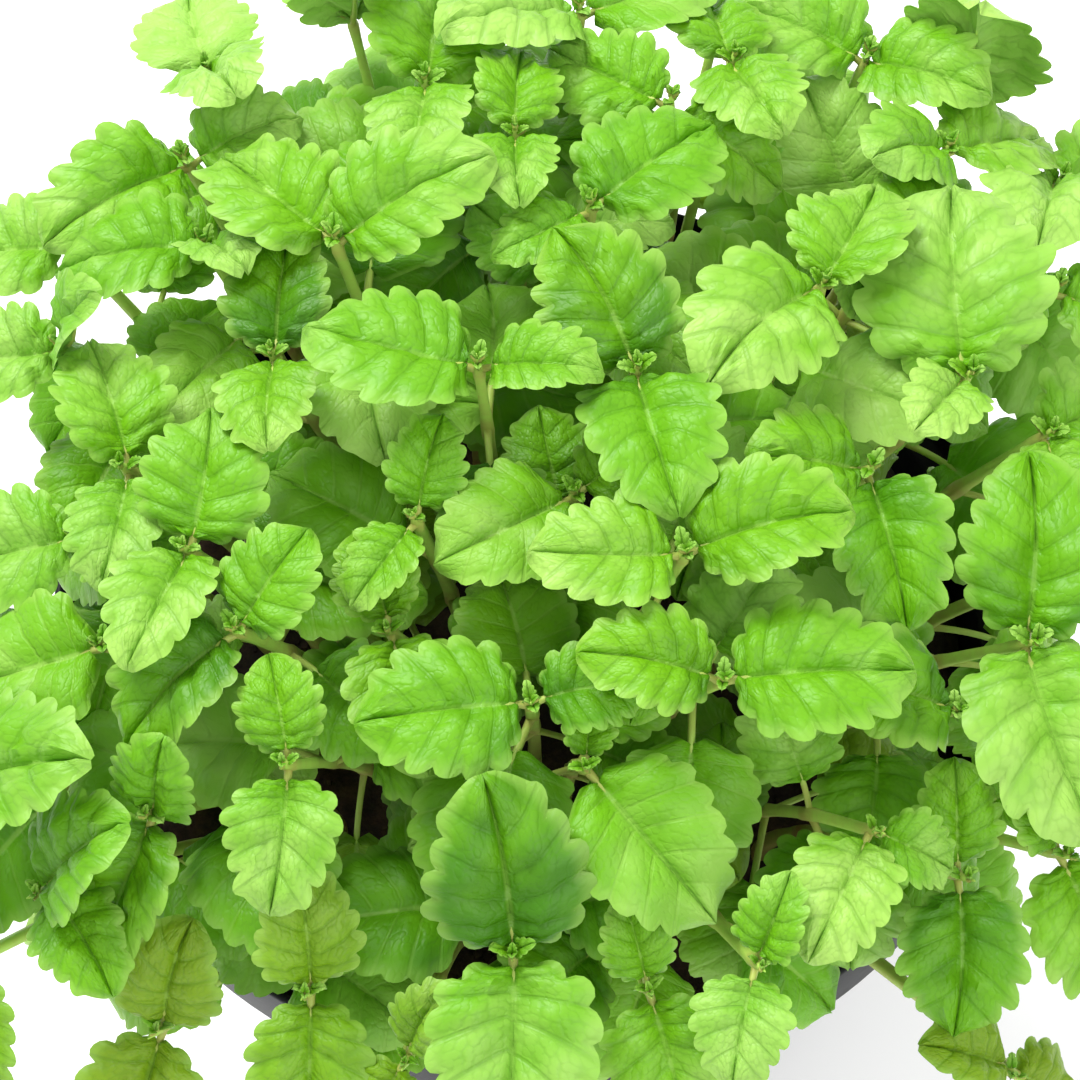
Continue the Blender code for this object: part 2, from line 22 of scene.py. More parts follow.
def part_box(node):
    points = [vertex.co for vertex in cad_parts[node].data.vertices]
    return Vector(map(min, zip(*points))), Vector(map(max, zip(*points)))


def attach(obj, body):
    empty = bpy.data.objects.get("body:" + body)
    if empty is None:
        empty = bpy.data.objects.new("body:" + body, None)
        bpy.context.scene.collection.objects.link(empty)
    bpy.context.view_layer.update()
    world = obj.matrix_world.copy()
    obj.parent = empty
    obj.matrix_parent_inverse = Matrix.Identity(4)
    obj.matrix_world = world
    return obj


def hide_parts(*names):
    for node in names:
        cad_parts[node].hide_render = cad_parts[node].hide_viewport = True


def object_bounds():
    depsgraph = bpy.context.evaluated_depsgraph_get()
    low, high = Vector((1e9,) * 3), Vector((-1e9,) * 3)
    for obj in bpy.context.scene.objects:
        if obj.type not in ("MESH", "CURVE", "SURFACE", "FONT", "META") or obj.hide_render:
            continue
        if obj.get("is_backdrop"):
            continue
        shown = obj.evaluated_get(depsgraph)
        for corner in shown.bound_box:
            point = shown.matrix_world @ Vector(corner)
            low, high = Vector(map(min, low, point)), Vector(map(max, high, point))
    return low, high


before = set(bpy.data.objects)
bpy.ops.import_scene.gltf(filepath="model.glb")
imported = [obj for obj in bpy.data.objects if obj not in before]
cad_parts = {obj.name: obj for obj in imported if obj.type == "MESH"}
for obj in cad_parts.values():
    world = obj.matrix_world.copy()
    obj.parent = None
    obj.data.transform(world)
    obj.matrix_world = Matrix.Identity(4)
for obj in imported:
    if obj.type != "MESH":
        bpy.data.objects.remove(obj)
SOLID_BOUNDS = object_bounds()

Floats = NDArray[np.float64]
Ints = NDArray[np.int64]
Faces = list[tuple[int, ...]]
Socket = bpy.types.NodeSocket
MM = 0.001
UP = np.array((0.0, 0.0, 1.0))
LOG = logging.getLogger("lemon_balm")

PLANTING = (
    # x, y, heading, opening, a, b, c, d, rise
    (-7, -3, 175, 180, 19, 13, 0, 0, 2),
    (11, -2, 110, 170, 19, 19, 0, 0, 0),
    (33, 11, 220, 200, 20, 17, 0, 0, 1),
    (50, 2, 105, 135, 26, 12, 0, 0, 3),
    (60, -2, 35, 250, 18, 16, 0, 0, 0),
    (20, -39, 5, 165, 20, 15, 14, 18, 3),
    (-1, -41, 186, 188, 18, 12, 21, 15, 1),
    (16, -25, 20, 170, 18, 16, 0, 0, 1),
    (4, -15, 215, 180, 17, 12, 0, 0, -5),
    (-34, -31, 50, 165, 13, 17, 12, 18, 0),
    (-40, -21, 250, 185, 16, 16, 0, 0, 1),
    (-48, -9, 105, 160, 17, 14, 0, 0, 0),
    (-31, 3, 90, 175, 15, 14, 0, 0, -2),
    (-40, 20, 175, 125, 19, 12, 0, 0, -1),
    (-44, 37, 205, 180, 20, 14, 0, 0, 0),
    (-58, 26, 170, 180, 16, 12, 0, 0, 1),
    (-57, 9, 178, 180, 17, 13, 0, 0, 0),
    (-42, 51, 110, 180, 18, 17, 0, 0, 2),
    (-14, 42, 85, 180, 19, 15, 0, 0, 2),
    (-24, 16, 140, 250, 20, 20, 0, 0, 2),
    (-3, 33, 270, 180, 14, 14, 0, 0, -1),
    (6, 21, 45, 170, 19, 12, 0, 0, 1),
    (24, 48, 285, 175, 16, 15, 22, 14, 2),
    (51, 40, 30, 180, 19, 15, 0, 0, 2),
    (44, 24, 60, 180, 17, 14, 0, 0, 0),
    (56, -29, 80, 200, 21, 23, 19, 15, 2),
    (38, -10, 285, 265, 18, 15, 19, 19, -3),
    (37, -52, 245, 95, 15, 10, 0, 0, 0),
    (-3, -65, 95, 177, 20, 21, 21, 14, -1),
    (-28, -46, 268, 192, 15, 11, 14, 18, 0),
    (24, -66, 255, 165, 12, 10, 17, 16, 0),
    (48, -53, 275, 180, 17, 12, 0, 0, -5),
    (60, -50, 300, 180, 19, 12, 0, 0, -2),
    (55, -70, 345, 195, 14, 12, 13, 10, -10),
    (-67, -42, 345, 180, 22, 16, 0, 0, 2),
    (-50, -29, 190, 180, 20, 12, 0, 0, -2),
    (-54, -15, 185, 150, 17, 13, 0, 0, -4),
    (-57, -54, 20, 290, 17, 14, 0, 0, -3),
    (-44, -66, 250, 180, 20, 14, 0, 0, -14),
    (-26, -66, 270, 180, 17, 14, 0, 0, -8),
    (-15, -73, 235, 180, 13, 10, 0, 0, -8),
    (-69, -58, 280, 180, 15, 12, 0, 0, -8),
    (5, 56, 200, 180, 20, 19, 0, 0, 3),
    (-24, 58, 110, 180, 17, 19, 0, 0, 3),
    (42, 56, 150, 180, 19, 17, 0, 0, 3),
    (66, 40, 55, 180, 18, 20, 0, 0, 2),
    (63, 20, 335, 175, 19, 18, 0, 0, 1),
    (67, -16, 10, 180, 19, 17, 0, 0, 0),
    (-14, -19, 80, 155, 11, 11, 18, 12, -4),
    (-17, -30, 285, 180, 16, 11, 0, 0, -6),
    (5, -47, 294, 180, 21, 10, 0, 0, -3),
    (12, -67, 290, 180, 17, 10, 0, 0, -5),
    (47, -37, 178, 180, 19, 13, 18, 18, -2),
    (-44, -48, 235, 180, 20, 13, 0, 0, -4),
    (24, 66, 75, 180, 17, 19, 0, 0, 3),
    (-8, 70, 100, 180, 16, 18, 0, 0, 2),
    (56, 56, 70, 180, 15, 21, 0, 0, 3),
    (16, 40, 150, 180, 17, 16, 0, 0, 0),
)

# Colour of each stem's top pair, in the order of the planting list: the tones of leaf a and leaf b
# from 0, pale, to 9, deep green.
TOP_TONES = (
    (5, 5), (8, 6), (3, 4), (3, 2), (3, 3), (5, 6), (6, 7), (6, 4), (4, 5), (6, 8), (3, 5), (4, 3),
    (9, 4), (5, 3), (4, 3), (3, 2), (2, 4), (1, 2), (4, 3), (5, 4), (4, 5), (6, 5), (4, 5), (3, 4),
    (5, 4), (7, 2), (7, 6), (2, 4), (9, 3), (3, 6), (2, 5), (8, 6), (4, 5), (7, 6), (5, 6), (4, 6),
    (3, 5), (6, 7), (6, 5), (5, 4), (4, 3), (5, 4), (2, 3), (2, 1), (3, 4), (3, 2), (3, 4), (4, 3),
    (6, 4), (5, 6), (4, 6), (4, 5), (7, 5), (7, 6), (2, 3), (1, 2), (1, 2), (4, 5),
)
# Top leaves that are smooth and round, as stem number and leaf, counted from 0.
SMOOTH_TOPS = {(8, 0), (35, 0), (50, 0), (42, 1), (17, 0), (43, 0)}


class Layer(Enum):
    """Which leaves of a stem these are, counted down from its head."""

    TOP = 0
    SECOND = 1
    THIRD = 2
    BUD = 3


@dataclass(frozen=True)
class PairHabit:
    """How the leaves of one layer grow.

    drop is the way below the head, petiole the length of the leaf stalk, and teeth the number that
    the solid leaf has on a side. The rises are above the horizontal.
    """

    drop: float
    petiole: float
    petiole_rise: float
    blade_rise: float
    arch: float
    fold: float
    width_share: float
    teeth: int


HABITS = {
    Layer.TOP: PairHabit(0.0, 0.0020, 38.0, 16.0, 34.0, 19.0, 0.85, 3),
    Layer.SECOND: PairHabit(0.0135, 0.0060, 30.0, 2.0, 34.0, 11.0, 0.94, 2),
    Layer.THIRD: PairHabit(0.0270, 0.0090, 20.0, -12.0, 40.0, 6.0, 0.96, 1),
}


@dataclass(frozen=True)
class PlantHabit:
    """Sizes that the whole plant shares with its solids."""

    soil_top: float = 0.092
    soil_crown: float = 0.002
    pot_height: float = 0.105
    rim_radius: float = 0.065
    stem_radius: float = 0.00125
    bud_length: float = 0.0035
    foot_share: float = 0.60
    foot_limit: float = 0.050
    lowest_node: float = 0.25
    bends: tuple[float, ...] = (0.0, 0.4, 0.72, 1.0)
    canopy_height: float = 0.062
    canopy_drop: float = 4.5
    height_spread: float = 0.003
    oval_base: float = 0.38
    oval_tip: float = 0.76
    oval_peak: float = 0.484
    tooth_peak: float = 1.07
    tooth_notch: float = 0.89
    blade_thickness: float = 0.0009
    petiole_radius: float = 0.00055
    clearance: float = 0.00035
    lower_leaf: float = 1.14
    longest_lower_leaf: float = 0.0225
    third_pair_from: float = 0.020
    seed: int = 7

    def canopy(self, x: float, y: float) -> float:
        """Height of the leaf dome over a place in plan: a paraboloid, highest over the middle."""
        return self.pot_height + self.canopy_height - self.canopy_drop * (x * x + y * y)


HABIT = PlantHabit()


@dataclass
class Stem:
    """One stem: its foot in the soil, its head, and its row of the planting list."""

    foot: Floats
    head: Floats
    row: tuple[float, ...]

    def path(self) -> Floats:
        """The stem's bends from foot to head, upright at the soil and then leaning out, and its bud.

        Returns:
            Points, one a row. Sideways places grow with the 1.7th power of the share of the height.
        """
        share = np.array(HABIT.bends)[:, None]
        bends = self.foot + (self.head - self.foot) * np.hstack((share**1.7, share**1.7, share))
        lean = bends[-1] - bends[-2]
        return np.vstack((bends, self.head + lean / np.linalg.norm(lean) * HABIT.bud_length))

    def at_drop(self, drop: float) -> tuple[Floats, Floats]:
        """Finds the point that lies so far below the head, and the way that the stem leans there."""
        share = max(1.0 - drop / (self.head[2] - self.foot[2]), HABIT.lowest_node)
        bends = self.path()[:-1]
        here = np.array([np.interp(share, HABIT.bends, bends[:, k]) for k in range(3)])
        piece = min(int(np.searchsorted(HABIT.bends, share, "right")) - 1, len(HABIT.bends) - 2)
        lean = bends[piece + 1] - bends[piece]
        return here, lean / np.linalg.norm(lean)


@dataclass
class Leaf:
    """One leaf on its stem."""

    root: Floats
    heading: float
    petiole: float
    length: float
    width: float
    petiole_rise: float
    blade_rise: float
    arch: float
    fold: float
    roll: float
    sweep: float
    teeth: int
    layer: Layer = Layer.TOP
    side: int = 0

    def midrib(self, along: Floats) -> tuple[Floats, Floats, Floats]:
        """Frames along the stalk and midrib.

        The rise turns evenly from the stalk's to the blade's, and then falls off along the blade
        with the 1.4th power of the share of its length, while the heading turns evenly by the
        sweep. The running sum of both is the curve.

        Args:
            along: distances from the root.

        Returns:
            Places, vectors across the blade and vectors out of its upper face.
        """
        total = self.petiole + self.length
        steps = np.linspace(0.0, total, 41)
        on_petiole = np.clip(steps / self.petiole, 0.0, 1.0)
        on_blade = np.clip((steps - self.petiole) / self.length, 0.0, 1.0)
        rise = self.petiole_rise + (self.blade_rise - self.petiole_rise) * on_petiole
        rise = np.radians(rise - self.arch * on_blade**1.4)
        middle = (rise[1:] + rise[:-1]) / 2
        step = total / 40
        up = np.concatenate(([0.0], np.cumsum(np.sin(middle) * step)))
        along = np.asarray(along, float)
        turn = np.radians(self.heading + self.sweep * on_blade)
        turn_middle = (turn[1:] + turn[:-1]) / 2
        x, y = (
            np.interp(along, steps, np.concatenate(([0.0], np.cumsum(np.cos(middle) * part * step))))
            for part in (np.cos(turn_middle), np.sin(turn_middle))
        )
        place = self.root + np.column_stack((x, y, np.interp(along, steps, up)))
        angle = np.interp(along, steps, rise)[:, None]
        turn = np.interp(along, steps, turn)
        ahead = np.column_stack((np.cos(turn), np.sin(turn), np.zeros_like(turn)))
        forward = np.cos(angle) * ahead + np.sin(angle) * UP
        level = np.cross(UP, ahead)
        normal = np.cross(forward, level)
        roll = math.radians(self.roll)
        across = level * math.cos(roll) + normal * math.sin(roll)
        return place, across, normal * math.cos(roll) - level * math.sin(roll)

    def half_width(self, share: Floats) -> Floats:
        """Half the blade's width at these shares of its length: an oval, broadest at a third."""
        share = np.clip(share, 0.0, 1.0)
        return self.width / 2 * share**HABIT.oval_base * (1 - share) ** HABIT.oval_tip / HABIT.oval_peak


@dataclass(frozen=True)
class SolidLeaf:
    """The plain solid of a leaf, which the growing rule tests for room. The stalk's faces come first."""

    leaf: Leaf
    petiole_faces: int = 7
    ribs: tuple[float, float] = (0.36, 0.72)

    def surface(self, grow: float) -> tuple[Floats, Faces]:
        """Builds the solid's points and triangles.

        Args:
            grow: how far the solid is swelled on all sides.

        Returns:
            Points and faces.
        """
        leaf = self.leaf
        teeth = range(leaf.teeth)
        ends = [(tooth + share) / (leaf.teeth + 0.4) for tooth in teeth for share in (0.6, 1.0)]
        reach = [HABIT.tooth_peak, HABIT.tooth_notch] * leaf.teeth
        length = leaf.length + grow
        shares = np.array([0.0, 0.0, *ends, *self.ribs, 1.0])
        middle = leaf.petiole + shares[1:-1] * leaf.length
        place, across, normal = leaf.midrib(np.concatenate(([0.0], middle, [leaf.petiole + leaf.length])))
        last = place[-1] - place[-2]
        place[-1] += last / np.linalg.norm(last) * (length - leaf.length)
        thin = HABIT.petiole_radius + grow
        half = leaf.half_width(np.array(ends)) * np.array(reach) + grow
        flat, raised = math.cos(math.radians(leaf.fold)), math.sin(math.radians(leaf.fold))
        points = []
        for at in (0, 1):
            points += [place[at] + across[at] * thin, place[at] - across[at] * thin]
            points.append(place[at] - normal[at] * 1.7 * thin)
        for side in (1, -1):
            for k in range(len(ends)):
                out = across[2 + k] * side * half[k] * flat + normal[2 + k] * half[k] * raised
                points.append(place[2 + k] + out)
        thick = HABIT.blade_thickness / 2 + grow
        for k in range(len(self.ribs)):
            at = 2 + len(ends) + k
            points += [place[at] + normal[at] * thick, place[at] - normal[at] * thick]
        points.append(place[-1])
        tip = len(points) - 1
        left = [3, *range(6, 6 + len(ends)), tip]
        right = [4, *range(6 + len(ends), 6 + 2 * len(ends)), tip]
        rib = 6 + 2 * len(ends)
        faces = [(0, 1, 2), (0, 3, 4), (0, 4, 1), (1, 4, 5), (1, 5, 2), (2, 5, 3), (2, 3, 0)]
        edge_at = [0.0, *ends, 1.0]
        for face, edge in ((0, left), (0, right), (1, left), (1, right)):
            faces += self.zipped(edge, edge_at, [rib + face, rib + 2 + face])
        faces += [(3, 4, rib), (3, 5, rib + 1), (4, 5, rib + 1)]
        return np.array(points), faces

    def zipped(self, edge: list[int], edge_at: list[float], rib: list[int]) -> Faces:
        """Joins a blade's edge to its rib with triangles, both running from base to tip.

        Args:
            edge: the numbers of the edge's points.
            edge_at: their shares of the blade's length.
            rib: the numbers of the rib's points.

        Returns:
            The triangles.
        """
        faces, i, j = [], 0, 0
        while i < len(edge) - 1 or j < len(rib) - 1:
            last_edge, last_rib = i == len(edge) - 1, j == len(rib) - 1
            if last_rib or (not last_edge and edge_at[i + 1] <= self.ribs[j + 1]):
                faces.append((edge[i], edge[i + 1], rib[j]))
                i += 1
            else:
                faces.append((edge[i], rib[j + 1], rib[j]))
                j += 1
        return faces


class Room:
    """The space already taken by stems and leaves, for placing the next leaf clear of them."""

    def __init__(self, stems: list[Stem]) -> None:
        """Takes the room of the stems, each as a six-sided tube."""
        self.lows: list[Floats] = []
        self.highs: list[Floats] = []
        self.owners: list[int] = []
        self.whole: list[BVHTree] = []
        self.blades: list[BVHTree | None] = []
        reach = (HABIT.stem_radius + HABIT.clearance) / math.cos(math.pi / 6)
        ring = [(reach * math.cos(k * math.pi / 3), reach * math.sin(k * math.pi / 3)) for k in range(6)]
        for owner, stem in enumerate(stems):
            path = stem.path()
            points = [Vector((p[0] + dx, p[1] + dy, p[2])) for p in path for dx, dy in ring]
            levels = range(len(path) - 1)
            corners = [(6 * level + k, 6 * level + (k + 1) % 6) for level in levels for k in range(6)]
            faces = [(a, b, b + 6, a + 6) for a, b in corners]
            self.add(owner, np.array(points), BVHTree.FromPolygons(points, faces), None)

    def add(self, owner: int, points: Floats, whole: BVHTree, blade: BVHTree | None) -> None:
        """Takes the room of one more shape.

        Args:
            owner: the number of its stem.
            points: its points.
            whole: its tree of all faces.
            blade: its tree of blade faces, or None for a stem.
        """
        self.lows.append(points.min(axis=0))
        self.highs.append(points.max(axis=0))
        self.owners.append(owner)
        self.whole.append(whole)
        self.blades.append(blade)

    def is_free(self, owner: int, points: Floats, whole: BVHTree, blade: BVHTree) -> bool:
        """Tells whether a leaf has room. The arguments are those of add.

        Returns:
            True where it meets no other stem's shape, and no blade of its own stem.
        """
        if points[:, 2].min() < HABIT.soil_top + HABIT.soil_crown + 0.001:
            return False
        radius = np.hypot(points[:, 0], points[:, 1])
        is_low = points[:, 2] < HABIT.pot_height + 0.0015
        is_out, is_in = radius > HABIT.rim_radius - 0.006, radius < HABIT.rim_radius + 0.004
        if (is_low & is_out).any() and (is_low & is_in).any():
            return False
        near = np.all(np.array(self.lows) <= points.max(axis=0), axis=1)
        near &= np.all(np.array(self.highs) >= points.min(axis=0), axis=1)
        for k in np.flatnonzero(near):
            if self.owners[k] != owner:
                if self.whole[k].overlap(whole):
                    return False
            elif self.blades[k] is not None and self.blades[k].overlap(blade):
                return False
        return True


class Growth:
    """The growing rule: stems from the planting list, and their leaves clear of one another."""

    def stems(self) -> list[Stem]:
        """The stems of the planting list, each with its foot drawn in towards the middle of the pot."""
        draw = random.Random(HABIT.seed)
        stems = []
        for row in PLANTING:
            x, y, rise = row[0] * MM, row[1] * MM, row[8] * MM
            height = HABIT.canopy(x, y) + rise + draw.uniform(-1, 1) * HABIT.height_spread / 2
            out = math.hypot(x, y)
            foot_out = min(out * HABIT.foot_share, HABIT.foot_limit)
            foot = np.array((x * foot_out / out, y * foot_out / out, HABIT.soil_top))
            stems.append(Stem(foot, np.array((x, y, height)), row))
        return stems

    def grown(self, stem: Stem, layer: Layer, side: int, draw: random.Random) -> Leaf:
        """Gives the leaf that the rule grows, before it is bent clear of its neighbours.

        Args:
            stem: the stem that it grows from.
            layer: its pair.
            side: 0 or 1, its place in the pair.
            draw: the seeded draw.

        Returns:
            The leaf.
        """
        heading, opening, a, b, c, d = stem.row[2:8]
        habit = HABITS[layer]
        lower = min(HABIT.lower_leaf * (a + b) / 2 * MM, HABIT.longest_lower_leaf)
        if layer is Layer.TOP:
            turn, length = (heading, a * MM) if side == 0 else (heading + opening, b * MM)
        elif layer is Layer.SECOND:
            turn = heading + opening / 2 + 180 * side
            length = ((c, d)[side] or 0) * MM or lower * draw.uniform(0.9, 1.1)
        else:
            turn = heading + 180 * side + draw.uniform(-15, 15)
            length = lower * draw.uniform(0.95, 1.15)
        root, lean = stem.at_drop(habit.drop)
        tilt = math.degrees(math.atan2(math.hypot(lean[0], lean[1]), lean[2]))
        tilt *= math.cos(math.radians(turn) - math.atan2(lean[1], lean[0]))
        return Leaf(
            root=root,
            heading=turn,
            petiole=habit.petiole * draw.uniform(0.85, 1.2),
            length=length,
            width=length * habit.width_share * draw.uniform(0.90, 1.10),
            petiole_rise=habit.petiole_rise - tilt + draw.uniform(-5, 5),
            blade_rise=habit.blade_rise - tilt + draw.uniform(-7, 7),
            arch=habit.arch * draw.uniform(0.6, 1.4),
            fold=habit.fold * draw.uniform(0.4, 1.5),
            roll=draw.uniform(-13, 13),
            sweep=draw.uniform(-20, 20),
            teeth=habit.teeth,
            layer=layer,
            side=side,
        )

    def bends(self) -> Iterator[tuple[float, float, float]]:
        """The ways to bend a leaf clear, the slightest first: turn, lift and length."""
        ways = (
            (0, 0), (0, 7), (0, -7), (9, 0), (-9, 0), (0, 14), (0, -14),
            (9, 10), (-9, 10), (9, -10), (-9, -10), (18, 0), (-18, 0), (0, 22), (0, -22),
            (18, 14), (-18, 14), (18, -14), (-18, -14), (0, 32), (0, -32),
            (30, 0), (-30, 0), (30, 18), (-30, 18), (30, -18), (-30, -18),
        )
        for size in (1.0, 0.9, 0.8, 0.7):
            for turn, lift in ways:
                yield turn, lift, size

    def fitted(self, leaf: Leaf, owner: int, room: Room) -> Leaf | None:
        """Bends a leaf clear of what is already placed.

        Args:
            leaf: the leaf as the rule grows it.
            owner: the number of its stem.
            room: the space already taken.

        Returns:
            The bent leaf, or None where it has no room.
        """
        for turn, lift, size in self.bends():
            trial = replace(
                leaf,
                heading=leaf.heading + turn,
                petiole_rise=leaf.petiole_rise + lift * 0.6,
                blade_rise=leaf.blade_rise + lift,
                length=leaf.length * size,
                width=leaf.width * size,
            )
            solid = SolidLeaf(trial)
            points, faces = solid.surface(HABIT.clearance)
            vectors = [Vector(p) for p in points]
            whole = BVHTree.FromPolygons(vectors, faces)
            blade = BVHTree.FromPolygons(vectors, faces[solid.petiole_faces:])
            if room.is_free(owner, points, whole, blade):
                room.add(owner, points, whole, blade)
                return trial
        return None

    def leaves(self, stems: list[Stem]) -> list[list[Leaf]]:
        """Grows the leaves. All top pairs take their room first, then the pairs under them.

        Args:
            stems: the stems.

        Returns:
            The leaves of each stem.
        """
        draw = random.Random(HABIT.seed + 1)
        room = Room(stems)
        leaves: list[list[Leaf]] = [[] for _ in stems]
        for layer in (Layer.TOP, Layer.SECOND, Layer.THIRD):
            for owner, stem in enumerate(stems):
                if layer is Layer.THIRD and math.hypot(*stem.head[:2]) < HABIT.third_pair_from:
                    continue
                for side in (0, 1):
                    leaf = self.fitted(self.grown(stem, layer, side, draw), owner, room)
                    if leaf is not None:
                        leaves[owner].append(leaf)
        return leaves


@dataclass
class Patch:
    """A piece of surface: points, faces padded with -1 to four corners, and values at its points."""

    points: Floats
    faces: Ints
    values: dict[str, Floats] = field(default_factory=dict)
    finish: int = 0

    @classmethod
    def closed(cls, rings: Floats, first: Floats, last: Floats, **values: Floats) -> "Patch":
        """Closes a stack of rings with a point at each end.

        Args:
            rings: points on a grid, rings by places round a ring.
            first: the point that closes the first ring.
            last: the point that closes the last ring.
            values: for each name, a grid like the rings'. The end points take the mean of their ring.

        Returns:
            The closed surface, facing outwards.
        """
        count, round_ = rings.shape[:2]
        index = 1 + np.arange(count * round_).reshape(count, round_)
        after = np.roll(index, -1, axis=1)
        sides = np.stack((index[:-1], after[:-1], after[1:], index[1:]), axis=-1).reshape(-1, 4)
        top, none = np.full(round_, count * round_ + 1), np.full(round_, -1)
        fans = (
            np.stack((0 * top, after[0], index[0], none), axis=-1),
            np.stack((top, index[-1], after[-1], none), axis=-1),
        )
        points = np.vstack((first, rings.reshape(-1, 3), last))
        spread = {
            name: np.concatenate(([grid[0].mean()], grid.ravel(), [grid[-1].mean()]))
            for name, grid in values.items()
        }
        return cls(points, np.vstack((sides, *fans)), spread).facing_out()

    def facing_out(self) -> "Patch":
        """The same surface with its faces turned outwards, told by the sign of its volume."""
        a, b, c = (self.points[self.faces[:, k]] for k in range(3))
        d = np.where(self.faces[:, 3:] >= 0, self.points[self.faces[:, 3]], c)
        volume = np.einsum("ij,ij->", a, np.cross(b, c)) + np.einsum("ij,ij->", a, np.cross(c, d))
        if volume < 0:
            quads = self.faces[:, 3] >= 0
            flipped = self.faces[:, [0, 2, 1, 3]]
            flipped[quads] = self.faces[quads][:, ::-1]
            self.faces = flipped
        return self


class Piece:
    """A named piece of the scene, gathered from patches and made into one mesh object."""

    crease_angle = 75

    def __init__(self, name: str, finishes: list[bpy.types.Material]) -> None:
        """Starts an empty piece with its name and its materials, which patches call by number."""
        self.name = name
        self.finishes = finishes
        self.patches: list[Patch] = []

    def add(self, patch: Patch, finish: int = 0) -> None:
        """Adds a patch with one of the piece's finishes."""
        patch.finish = finish
        self.patches.append(patch)

    def build(self) -> bpy.types.Object:
        """Makes the mesh object, with every value as an attribute of its points."""
        starts = np.cumsum([0] + [len(patch.points) for patch in self.patches])
        points = np.vstack([patch.points for patch in self.patches])
        faces = np.vstack([np.where(p.faces >= 0, p.faces + s, -1) for p, s in zip(self.patches, starts)])
        finish = np.concatenate([np.full(len(patch.faces), patch.finish) for patch in self.patches])
        corners = faces[faces >= 0]
        sizes = (faces >= 0).sum(axis=1)
        mesh = bpy.data.meshes.new(self.name)
        mesh.vertices.add(len(points))
        mesh.vertices.foreach_set("co", points.astype(np.float32).ravel())
        mesh.loops.add(len(corners))
        mesh.loops.foreach_set("vertex_index", corners.astype(np.int32))
        mesh.polygons.add(len(sizes))
        first_corners = np.concatenate(([0], np.cumsum(sizes)[:-1])).astype(np.int32)
        mesh.polygons.foreach_set("loop_start", first_corners)
        mesh.update(calc_edges=True)
        mesh.polygons.foreach_set("material_index", finish.astype(np.int32))
        for name in sorted({name for patch in self.patches for name in patch.values}):
            spread = [patch.values.get(name, np.zeros(len(patch.points))) for patch in self.patches]
            values = mesh.attributes.new(name, "FLOAT", "POINT").data
            values.foreach_set("value", np.concatenate(spread).astype(np.float32))
        mesh.shade_smooth()
        mesh.set_sharp_from_angle(angle=math.radians(self.crease_angle))
        mesh.validate()
        for material in self.finishes:
            mesh.materials.append(material)
        made = bpy.data.objects.new(self.name, mesh)
        bpy.context.scene.collection.objects.link(made)
        return made


def linear(colour: str) -> tuple[float, float, float, float]:
    """Turns an sRGB hex colour such as #7AC943 to linear red, green, blue and alpha."""
    parts = [int(colour[k : k + 2], 16) / 255 for k in (1, 3, 5)]
    red, green, blue = (c / 12.92 if c <= 0.04045 else ((c + 0.055) / 1.055) ** 2.4 for c in parts)
    return red, green, blue, 1.0


def add_node(
    tree: bpy.types.NodeTree,
    kind: str,
    inputs: dict[str | int, object],
    output: str | int = 0,
    **settings: object,
) -> Socket:
    """Adds one shader node with its settings and links.

    Args:
        tree: the material's node tree.
        kind: the node's type, without its ShaderNode prefix.
        inputs: for each input's name or number, a value, an sRGB hex colour, or the socket that feeds it.
        output: the name or number of the output that is wanted.
        settings: the node's own settings.

    Returns:
        That output.
    """
    node = tree.nodes.new("ShaderNode" + kind)
    for name, value in settings.items():
        setattr(node, name, value)
    for name, value in inputs.items():
        if isinstance(value, Socket):
            tree.links.new(value, node.inputs[name])
        else:
            node.inputs[name].default_value = linear(value) if isinstance(value, str) else value
    return node.outputs[output]


class Finish:
    """A material. Each finish is a frozen dataclass with its colours, and lays its own surface."""

    name: str

    def surface(self, tree: bpy.types.NodeTree) -> Socket:
        """Adds the nodes of the surface and gives the shader at their end."""
        raise NotImplementedError

    def material(self) -> bpy.types.Material:
        """Makes the material."""
        made = bpy.data.materials.new(self.name)
        made.use_nodes = True
        tree = made.node_tree
        tree.nodes.clear()
        end = tree.nodes.new("ShaderNodeOutputMaterial")
        tree.links.new(self.surface(tree), end.inputs["Surface"])
        return made


class BladeForm(Enum):
    """The leaf forms on the plant, by age."""

    YOUNG = "young"
    ROUND = "round"
    BUD = "bud"


@dataclass(frozen=True)
class BladeShape:
    """Surface detail of one leaf form.

    teeth counts the rounded teeth on a side. As shares of the blade's length, tooth is their
    depth, quilt the height of the swellings between the veins, wave the ripple of the margin,
    groove the depth of the sunken line over the midrib and heart the reach of the two lobes beside the
    stalk. bare is the share of the margin next to the stalk that has no teeth, and end that of the
    smooth lobe at the tip. pale is how pale the veins are: young leaves have painted shade in the
    creases over their veins instead.
    rows is the number of mesh rows a tooth, and columns their places from the midrib, 0, to the
    margin, 1.
    """

    teeth: int
    tooth: float
    quilt: float
    bare: float
    end: float
    wave: float
    groove: float
    heart: float
    pale: float
    rows: int
    columns: tuple[float, ...]


BLADE_SHAPES = {
    BladeForm.YOUNG: BladeShape(
        teeth=6, tooth=0.070, quilt=0.036, bare=0.08, end=0.17, wave=0.022, groove=0.006, heart=0.04,
        pale=0.0, rows=6, columns=(0.0, 0.09, 0.22, 0.38, 0.54, 0.70, 0.84, 0.94, 1.0),
    ),
    BladeForm.ROUND: BladeShape(
        teeth=6, tooth=0.042, quilt=0.026, bare=0.20, end=0.14, wave=0.026, groove=0.009, heart=0.08,
        pale=1.0, rows=4, columns=(0.0, 0.10, 0.26, 0.46, 0.66, 0.84, 0.95, 1.0),
    ),
    BladeForm.BUD: BladeShape(
        teeth=4, tooth=0.070, quilt=0.040, bare=0.16, end=0.10, wave=0.010, groove=0.020, heart=0.0,
        pale=0.2, rows=3, columns=(0.0, 0.14, 0.45, 0.75, 0.93, 1.0),
    ),
}


